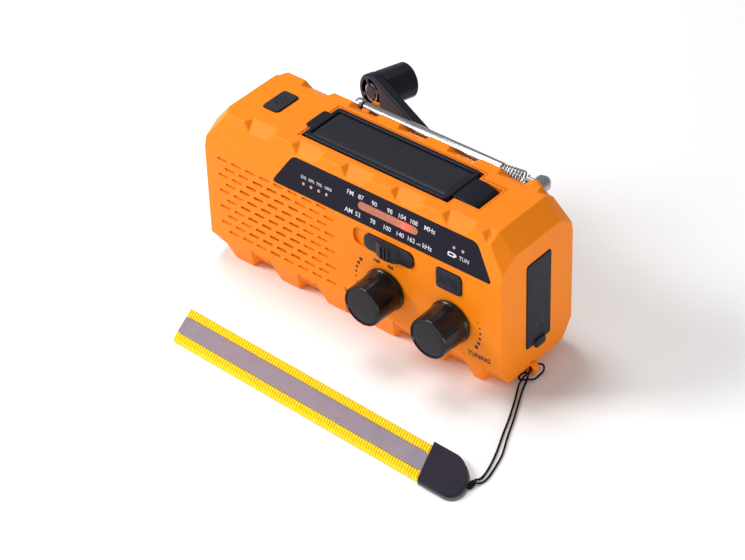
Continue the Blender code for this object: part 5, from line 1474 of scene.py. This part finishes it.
@dataclass
class Crank:
    """The folding crank: hub, lever with a spoked end, and its spinning grip."""

    hub_x: ClassVar[float] = 3.0
    hub_z: ClassVar[float] = 54.0
    pin_y: ClassVar[float] = 25.6
    length: ClassVar[float] = 46.4
    slope: float = math.radians(14.6)
    lean: float = math.radians(15.0)
    face: float = 1.9
    thick: float = 4.4
    half_width: float = 8.2

    def lever_frame(self) -> Matrix:
        """The lever's frame: X along it, Z the way its grip points, origin at the fold pin."""
        flat = Vector((-math.cos(self.slope), 0.0, math.sin(self.slope)))
        out = Vector((0.0, 1.0, 0.0))
        along = flat * math.cos(self.lean) + out * math.sin(self.lean)
        grip = out * math.cos(self.lean) - flat * math.sin(self.lean)
        turned = Matrix((along, grip.cross(along), grip)).transposed().to_4x4()
        turned.translation = (self.hub_x, self.pin_y, self.hub_z)
        return turned

    def lever(self) -> Shape:
        """The lever's body with its barrel, round pocket and bores."""
        body = Shape()
        outer = self.face + self.thick
        corners = [(x, y, z) for x, y in self.round_end(self.half_width) for z in (self.face, outer)]
        corners += [(x, y, self.face) for x, y in ((1.6, 4.9), (1.6, -4.9), (5.6, 8.6), (5.6, -8.6))]
        corners += [(x, y, outer) for x, y in ((5.8, 6.0), (5.8, -6.0), (8.0, 8.6), (8.0, -8.6))]
        body.hull(corners)
        bmesh.ops.dissolve_limit(
            body.mesh, angle_limit=math.radians(1.0), verts=body.mesh.verts[:], edges=body.mesh.edges[:]
        )
        body.bevel(sharp_edges(body, 30.0), 0.55, 3)
        barrel = Shape()
        barrel.rod((0, -4.9, 0), (0, 4.9, 0), 2.2)
        web = Shape()
        gusset = ((0.2, 0.4), (1.9, -0.5), (1.1, 2.8), (5.0, 4.0), (5.0, 2.2))
        web.hull((x, y, z) for x, z in gusset for y in (-4.7, 4.7))
        pocket = self.pocket(self.face - 1.0, self.face + 1.9)
        bores = Shape()
        bores.rod((0, -12, 0), (0, 12, 0), 1.15)
        bores.rod((self.length, 0, 3.2), (self.length, 0, 9.0), 2.5)
        return combine(
            body, (Operation.JOIN, barrel), (Operation.JOIN, web), (Operation.CUT, pocket), (Operation.CUT, bores)
        )

    def round_end(self, reach: float) -> list[tuple[float, float]]:
        """Points round the lever's outer end, at a distance from the grip's axis."""
        turns = [math.radians(-90.0 + 180.0 * step / 24) for step in range(25)]
        return [(self.length + reach * math.cos(turn), reach * math.sin(turn)) for turn in turns]

    def pocket(self, low: float, high: float) -> Shape:
        """The four sectors of the round pocket, between two heights."""
        ring = Shape()
        ring.lathe(
            ((6.3, high), (6.3, low), (3.1, low), (3.1, high)), 48, Matrix.Translation((self.length, 0, 0))
        )
        return combine(ring, (Operation.CUT, self.spokes(low - 1, high + 1)))

    def spokes(self, low: float, high: float) -> Shape:
        """The four spokes left standing in the round pocket."""
        shape = Shape()
        for turn in (45.0, 135.0):
            bar = Shape()
            bar.box((-9, -0.75, low), (9, 0.75, high))
            place = Matrix.Translation((self.length, 0, 0)) @ Matrix.Rotation(math.radians(turn), 4, "Z")
            shape.take(bar.move(place))
        return shape

    def face_plate(self) -> Shape:
        """The thin grey plate on the lever's inner face, inside its raised rim."""
        plate = Shape()
        points = [*self.round_end(self.half_width - 0.9), (2.6, 4.3), (2.6, -4.3), (6.0, 7.6), (6.0, -7.6)]
        plate.hull((x, y, z) for x, y in points for z in (self.face - 0.12, self.face + 0.4))
        return combine(plate, (Operation.CUT, self.pocket(-1.0, 5.0)))

    def grip(self) -> Shape:
        """The grip, with twelve shallow flats down its length."""
        start = self.face + self.thick + 0.3
        top, radius = 15.0, 8.0
        profile = (
            (0.0, top - 0.5), (5.6, top - 0.45), (6.3, top - 0.05), (6.9, top), (7.5, top - 0.2), (7.9, top - 0.7),
            (radius, top - 1.6), (radius, 0.9), (radius - 0.25, 0.3), (radius - 0.8, 0.0), (2.9, 0.0), (2.9, 10.0),
            (0.0, 10.0),
        )
        shape = Shape()
        shape.lathe(profile, 144)
        for vert in shape.mesh.verts:
            reach = math.hypot(vert.co.x, vert.co.y)
            if reach > radius - 0.02 and 0.5 < vert.co.z < top - 1.0:
                turn = math.atan2(vert.co.y, vert.co.x)
                half = math.pi / 12
                local = (turn + half) % (2 * half) - half
                flat = radius * math.cos(half) / math.cos(local) + 0.04
                scale = min(1.0, flat / radius)
                vert.co.x *= scale
                vert.co.y *= scale
        return shape.move(self.lever_frame() @ Matrix.Translation((self.length, 0, start)))

    def build(self) -> None:
        """Builds the crank's visible pieces."""
        place = self.lever_frame()
        finish_piece("crank_lever", self.lever().move(place), "black", "arm", ["crank_arm"], 40.0, True)
        finish_piece("crank_lever_face", self.face_plate().move(place), "grey", "arm")
        finish_piece("crank_grip", self.grip(), "black", "grip", ["crank_knob"], 35.0)
        dress("black", "crank_hub")
        dress("steel", "crank_fold_pin", "crank_knob_post")


@dataclass
class Aerial:
    """The telescopic aerial with its base spring, knuckle and tip."""

    y: float = 24.1
    z: float = 70.5
    left: float = -29.6
    right: float = 42.2

    def along(self, x: float, left: bool = False) -> Matrix:
        """A frame whose Z runs along the aerial, to the right or to the left."""
        turn = Vector((-1 if left else 1, 0, 0)).to_track_quat("Z", "Y").to_matrix().to_4x4()
        turn.translation = (x, self.y, self.z)
        return turn

    def tube(self, name: str, body: str, node: str, left: float, right: float, outer: float, inner: float) -> None:
        """One drawn tube with a rolled-in mouth."""
        length = right - left
        shape = Shape()
        profile = (
            (0.0, 0.0), (outer - 0.2, 0.0), (outer, -0.2), (outer, -length + 1.3), (outer - 0.12, -length + 1.05),
            (outer - 0.12, -length + 0.8), (outer, -length + 0.6), (outer - 0.1, -length + 0.1),
            (outer - 0.25, -length), (inner, -length), (inner, -2.0), (0.0, -2.0),
        )
        shape.lathe(profile, 48, self.along(right))
        finish_piece(name, shape, "chrome", body, [node], 30.0)

    def spring(self) -> None:
        """The close base spring, wider towards the knuckle."""
        turns, per_turn, wire, start, end = 7, 28, 0.42, 42.6, 54.0
        last = turns * per_turn
        points = []
        for index in range(last + 1):
            share = index / last
            turn = 2 * math.pi * turns * share
            radius = 1.9 + 1.0 * share
            x = start + wire + 0.2 + (end - start - 2 * wire - 0.4) * share
            points.append((x, self.y + radius * math.cos(turn), self.z + radius * math.sin(turn)))
        wire_piece("base_spring", points, wire, "chrome", "aerial", "aerial_spring", 3)

    def build(self) -> None:
        """Builds the whole aerial."""
        self.tube("aerial_outer", "aerial", "aerial_tube_outer", self.left, self.right, 2.5, 2.0)
        left, right = self.left - 0.3, self.right - 2.8
        self.tube("aerial_middle_tube", "aerial_middle", "aerial_tube_middle", left, right, 1.65, 1.2)
        dress("chrome", "aerial_rod_inner", "aerial_knuckle")
        dress("steel", "aerial_pivot_screw")
        tip = Shape()
        tip.lathe(
            (
                (0.0, 4.2), (1.5, 4.15), (2.1, 3.95), (2.6, 3.6), (2.85, 3.1), (2.9, 2.6), (2.75, 2.45), (2.75, 2.2),
                (2.9, 2.05), (2.9, 0.7), (2.7, 0.2), (2.4, 0.0), (0.0, 0.0),
            ),
            48,
            self.along(self.left - 0.9, True),
        )
        finish_piece("aerial_end_cap", tip, "chrome", "aerial_inner", ["aerial_tip"], 35.0)
        self.spring()


@dataclass
class Ends:
    """The port cover and sockets on the right, and the torch on the left."""

    y: float = 0.9
    z: float = 35.2
    half_y: float = 7.8
    half_z: float = 21.0

    def spot(self, y: float, z: float) -> Matrix:
        """The frame of a spot on the port cover's face."""
        return face_frame((78.5, y, z), (0, 1, 0), (0, 0, 1))

    def build(self) -> None:
        """Builds both ends."""
        cover = Shape()
        near, far = self.y - self.half_y, self.y + self.half_y
        cover.bar((76.8, near, self.z - self.half_z), (78.5, far, self.z + self.half_z), 1.4, 0, 0.35)
        finish_piece("port_flap", cover, "rubber", "ports", ["port_cover"], 40.0, True)
        tab = Shape()
        low = self.z - self.half_z
        tab.bar((78.3, self.y - 3.2, low - 1.6), (79.7, self.y + 3.2, low + 2.4), 1.0, 0, 0.4)
        finish_piece("port_flap_tab", tab, "rubber", "ports")
        signs = Shape()
        signs.text("DC IN", 1.9, self.spot(self.y, 46.5), 0.2, 0.02)
        signs.text("5V OUT", 1.9, self.spot(self.y, 35.0), 0.2, 0.02)
        band = Shape()
        band.lathe(((2.1, 0.1), (2.1, -0.1), (1.7, -0.1), (1.7, 0.1)), 40, self.spot(self.y, 24.6))
        lower = Shape()
        lower.box((77.0, self.y - 4, 20.0), (80.0, self.y + 4, 24.0))
        half_band = combine(band, (Operation.CUT, lower))
        finish_piece("earphone_sign_band", half_band, "grey", "ports")
        for side in (-1.0, 1.0):
            signs.box((78.4, self.y + side * 1.9 - 0.5, 22.9), (78.6, self.y + side * 1.9 + 0.5, 24.6), 0.08, 2)
        finish_piece("port_signs", signs, "grey", "ports")
        dress("steel", "usb_socket", "charging_socket", "earphone_socket")
        dress("board", "port_board")
        dress("chrome", "torch_reflector")
        dress("lens", "torch_lens")
        dress("led", "torch_led")


@dataclass
class Strap:
    """The flat strap on the table, its rubber tab and the thin cord to the lug."""

    far: Vector = field(default_factory=lambda: Vector((-54.4, -68.2, 0.0)))
    near: Vector = field(default_factory=lambda: Vector((79.2, -73.3, 0.0)))
    cross: Vector = field(default_factory=lambda: Vector((-4.0, 10.0, 0.0)))
    low: float = 0.3
    high: float = 2.1
    tab_length: float = 11.6
    tab_step: float = 1.3
    cord_diameter: float = 0.8
    route: tuple[Point, ...] = (
        (101.6, -70.6, 1.0), (103.0, -68.6, 0.6), (103.3, -65.0, 0.5), (102.0, -59.0, 0.5), (99.4, -50.6, 0.5),
        (94.6, -40.8, 0.5), (90.6, -32.0, 0.5), (86.0, -22.6, 0.5), (82.3, -15.0, 0.5), (80.0, -9.2, 0.7),
        (78.9, -6.4, 1.9), (78.4, -4.4, 2.9), (78.4, -1.8, 3.0), (79.0, 0.3, 2.9), (80.9, 1.0, 2.5),
        (82.3, -1.0, 1.7), (82.1, -4.0, 0.9), (81.8, -6.6, 0.8), (80.9, -9.2, 1.8), (79.4, -10.8, 2.0),
        (77.6, -10.9, 1.5), (76.5, -9.4, 1.4), (77.0, -7.8, 2.2), (78.5, -7.5, 3.3), (79.7, -8.9, 3.9),
        (79.8, -11.2, 3.5), (79.6, -13.4, 1.8), (80.7, -16.2, 0.6), (84.2, -23.0, 0.5), (88.6, -32.2, 0.5),
        (92.2, -40.6, 0.5), (96.9, -51.0, 0.5), (99.8, -59.0, 0.5), (101.2, -64.4, 0.5), (101.2, -67.2, 0.6),
        (100.2, -68.9, 1.0),
    )

    def along(self) -> Vector:
        """The strap's direction."""
        return (self.near - self.far).normalized()

    def place(self, share: float, across: float, z: float) -> Vector:
        """A point of the strap by its share along, its share across and its height."""
        return self.far.lerp(self.near, share) + self.cross * across + Vector((0, 0, z))

    def webbing(self) -> None:
        """The woven band: ribbed, rounded at its selvages, its middle tape a little raised."""
        shape = Shape()
        columns, rows = 640, 40
        bmesh.ops.create_grid(shape.mesh, x_segments=columns, y_segments=rows, size=0.5)
        layer = shape.mesh.loops.layers.uv.new("strap")
        spots = {}
        for vert in shape.mesh.verts:
            spots[vert] = (vert.co.x + 0.5, 0.5 - vert.co.y)
        for face in shape.mesh.faces:
            for loop in face.loops:
                loop[layer].uv = spots[loop.vert]
        for vert, (share, across) in spots.items():
            side = 1 - 2 * across
            selvage = math.sqrt(max(0.0, 1 - max(0.0, (abs(side) - 0.9) / 0.1) ** 2))
            tape = Across.STRIPE_START.value < across < Across.STRIPE_END.value
            rib = 0.0 if tape else 0.13 * math.sin(2 * math.pi * share * WEBBING_RIBS)
            lift = 0.14 if tape else 0.0
            wander = 0.12 * math.sin(share * 9.0 + 1.0) * (1 - share)
            thick = (self.high - self.low - 0.4 + lift + rib) * (0.45 + 0.55 * selvage)
            vert.co = self.place(share, side * 0.985, self.low + thick + wander * 0.3)
        rim = [edge for edge in shape.mesh.edges if edge.is_boundary]
        made = bmesh.ops.extrude_edge_only(shape.mesh, edges=rim)["geom"]
        for vert in made:
            if isinstance(vert, bmesh.types.BMVert):
                vert.co.z = self.low
        bmesh.ops.contextual_create(shape.mesh, geom=[e for e in shape.mesh.edges if e.is_boundary])
        finish_piece("strap_band", shape, "webbing", "radio", ["hand_strap"], 70.0)
        stitches = Shape()
        for across in (Across.STRIPE_START.value - 0.012, Across.STRIPE_END.value + 0.012):
            side = (1 - 2 * across) * 0.985
            for index in range(62):
                share = 0.012 + index * 0.0158
                start = self.place(share, side, self.high - 0.27)
                end = self.place(share + 0.0136, side, self.high - 0.27)
                stitches.rod(tuple(start), tuple(end), 0.13, 8)
        finish_piece("strap_stitches", stitches, "thread", "radio")

    def outline(self, reach: float, grow: float) -> list[Vector]:
        """The tab's outline: square at the webbing, round at the far end."""
        start = self.near + self.along() * 0.3
        points = [start - self.cross * grow, start + self.cross * grow]
        middle = start + self.along() * reach
        for step in range(33):
            turn = math.radians(-90.0 + 180.0 * step / 32)
            points.append(middle + self.along() * 8.6 * math.cos(turn) + self.cross * grow * math.sin(turn))
        return points

    def tab(self) -> None:
        """The rubber tab: a dark cover over a paler rim."""
        for name, node, finish, reach, levels, soft in (
            ("tab_cover", "strap_tab_cover", "tab_rubber", self.tab_length, (1.5, 3.1), 0.4),
            ("tab_rim", "strap_tab_base", "rim_rubber", self.tab_length + self.tab_step, (0.0, 1.2), 0.3),
        ):
            shape = Shape()
            shape.hull((p.x, p.y, z) for p in self.outline(reach, 1.06) for z in levels)
            bmesh.ops.dissolve_limit(
                shape.mesh, angle_limit=math.radians(1.0), verts=shape.mesh.verts[:], edges=shape.mesh.edges[:]
            )
            shape.bevel(sharp_edges(shape, 40.0), soft, 3)
            finish_piece(name, shape, finish, "radio", [node], 40.0, True)

    def smooth(self, count: int) -> list[Vector]:
        """Points at equal lengths along a smooth curve through the cord's route."""
        route = [Vector(point) for point in self.route]
        fine = []
        for index in range(len(route) - 1):
            before, start = route[max(index - 1, 0)], route[index]
            end, after = route[index + 1], route[min(index + 2, len(route) - 1)]
            for step in range(12):
                t = step / 12
                bend = (2 * before - 5 * start + 4 * end - after) * t * t
                twist = (3 * start - before - 3 * end + after) * t * t * t
                fine.append(0.5 * (2 * start + (end - before) * t + bend + twist))
        fine.append(route[-1])
        lengths = [0.0]
        for first, second in zip(fine, fine[1:]):
            lengths.append(lengths[-1] + (second - first).length)
        points, segment = [], 0
        for index in range(count):
            goal = lengths[-1] * index / (count - 1)
            while segment < len(fine) - 2 and lengths[segment + 1] < goal:
                segment += 1
            span = lengths[segment + 1] - lengths[segment]
            points.append(fine[segment].lerp(fine[segment + 1], (goal - lengths[segment]) / span))
        return points

    def cord(self) -> None:
        """The cord from the tab through the lug and back beside itself."""
        points = self.smooth(330)
        piece = wire_piece("carry_cord", points, self.cord_diameter / 2, "cord", "radio", "lanyard_cord", 4)
        knot = Shape()
        tip = self.near + self.along() * (self.tab_length + self.tab_step + 8.9)
        ends = (Vector(self.route[0]) + Vector(self.route[-1])) / 2
        for share, radius in ((-0.1, 0.5), (0.25, 0.95), (0.5, 1.0), (0.75, 0.9), (1.15, 0.45)):
            middle = tip.lerp(ends, share)
            knot.rod((middle.x, middle.y, 1.0 - radius * 0.9), (middle.x, middle.y, 1.0 + radius * 0.9), radius, 20)
        finish_piece("cord_knot", knot, "cord", "radio")

    def build(self) -> None:
        """Builds the cord, the band and the tab."""
        self.cord()
        self.webbing()
        self.tab()


class Insides:
    """Finishes for what is shut in the case."""

    groups = {
        "steel": ("volume_shaft", "tuning_shaft", "volume_control", "band_switch_body", "generator",
                  "generator_pinion", "speaker_frame", "case_screw_1", "case_screw_2", "case_screw_3", "case_screw_4"),
        "nylon": ("tuning_capacitor", "drive_gear", "idler_gear"),
        "board": ("main_circuit_board",),
        "paper": ("speaker_cone",),
        "wrap": ("battery_cell",),
    }

    def build(self) -> None:
        """Dresses each node that keeps its shape."""
        for finish, nodes in self.groups.items():
            dress(finish, *nodes)


@dataclass
class Studio:
    """The table, the soft lights and the camera."""

    camera_at: Point = (589.58, -688.35, 716.46)
    right: Point = (0.7688, 0.6390, -0.0278)
    up: Point = (-0.3768, 0.4875, 0.7876)
    lens: float = 132.76

    def camera(self) -> None:
        """Sets up the camera."""
        data = bpy.data.cameras.new("camera")
        data.lens = self.lens
        data.sensor_width = 36.0
        data.clip_start = 0.05
        data.clip_end = 20.0
        holder = bpy.data.objects.new("camera", data)
        x_way, y_way = Vector(self.right).normalized(), Vector(self.up).normalized()
        turned = Matrix((x_way, y_way, x_way.cross(y_way))).transposed().to_4x4()
        turned.translation = Vector(self.camera_at) * MM
        holder.matrix_world = turned
        bpy.context.scene.collection.objects.link(holder)
        bpy.context.scene.camera = holder

    def table(self) -> None:
        """A broad pale floor."""
        mesh = bmesh.new()
        bmesh.ops.create_grid(mesh, x_segments=1, y_segments=1, size=3.0)
        data = bpy.data.meshes.new("table")
        mesh.to_mesh(data)
        mesh.free()
        desk = NodeDesk("pale_table")
        desk.set(Base_Color=(0.93, 0.93, 0.93), Roughness=0.9)
        data.materials.append(desk.material)
        floor = bpy.data.objects.new("table", data)
        floor.location = (0, 0, 0)
        bpy.context.scene.collection.objects.link(floor)

    def light(self, name: str, at: Point, size: float, power: float, aim: Point = (0, 0, 0.03)) -> None:
        """One soft area light.

        Args:
            name: Its name.
            at: Where it stands, in metres.
            size: The side of its square, in metres.
            power: Its power in watts.
            aim: What it points at, in metres.
        """
        data = bpy.data.lights.new(name, "AREA")
        data.shape = "SQUARE"
        data.size = size
        data.energy = power
        lamp = bpy.data.objects.new(name, data)
        lamp.location = at
        lamp.visible_camera = False
        lamp.rotation_mode = "QUATERNION"
        lamp.rotation_quaternion = (Vector(aim) - Vector(at)).to_track_quat("-Z", "Y")
        bpy.context.scene.collection.objects.link(lamp)

    def build(self) -> None:
        """Sets up everything that isn't the radio."""
        self.camera()
        self.table()
        world = bpy.data.worlds.new("soft_room")
        world.use_nodes = True
        world.node_tree.nodes["Background"].inputs["Color"].default_value = (1.0, 1.0, 1.0, 1.0)
        world.node_tree.nodes["Background"].inputs["Strength"].default_value = 0.34
        bpy.context.scene.world = world
        bpy.context.scene.view_settings.view_transform = "Standard"
        self.light("key", (-0.85, -0.6, 0.8), 0.5, 12.2)
        self.light("overhead", (-0.45, 0.15, 1.2), 0.5, 7.6)
        self.light("front", (0.05, -1.2, 0.12), 0.35, 3.0)
        self.light("right_low", (0.27, -0.06, 0.0), 0.12, 0.32, (0.08, 0.0, 0.03))


def main() -> None:
    """Builds the studio and the radio, and keeps the model's size."""
    logging.basicConfig(level=logging.INFO, format="%(name)s: %(message)s")
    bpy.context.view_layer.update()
    Studio().build()
    Strap().build()
    case = Case()
    case.build()
    Dial(case).build()
    Controls(case).build()
    SolarLid().build()
    Crank().build()
    Aerial().build()
    Ends().build()
    Insides().build()


if __name__ == "__main__":
    main()
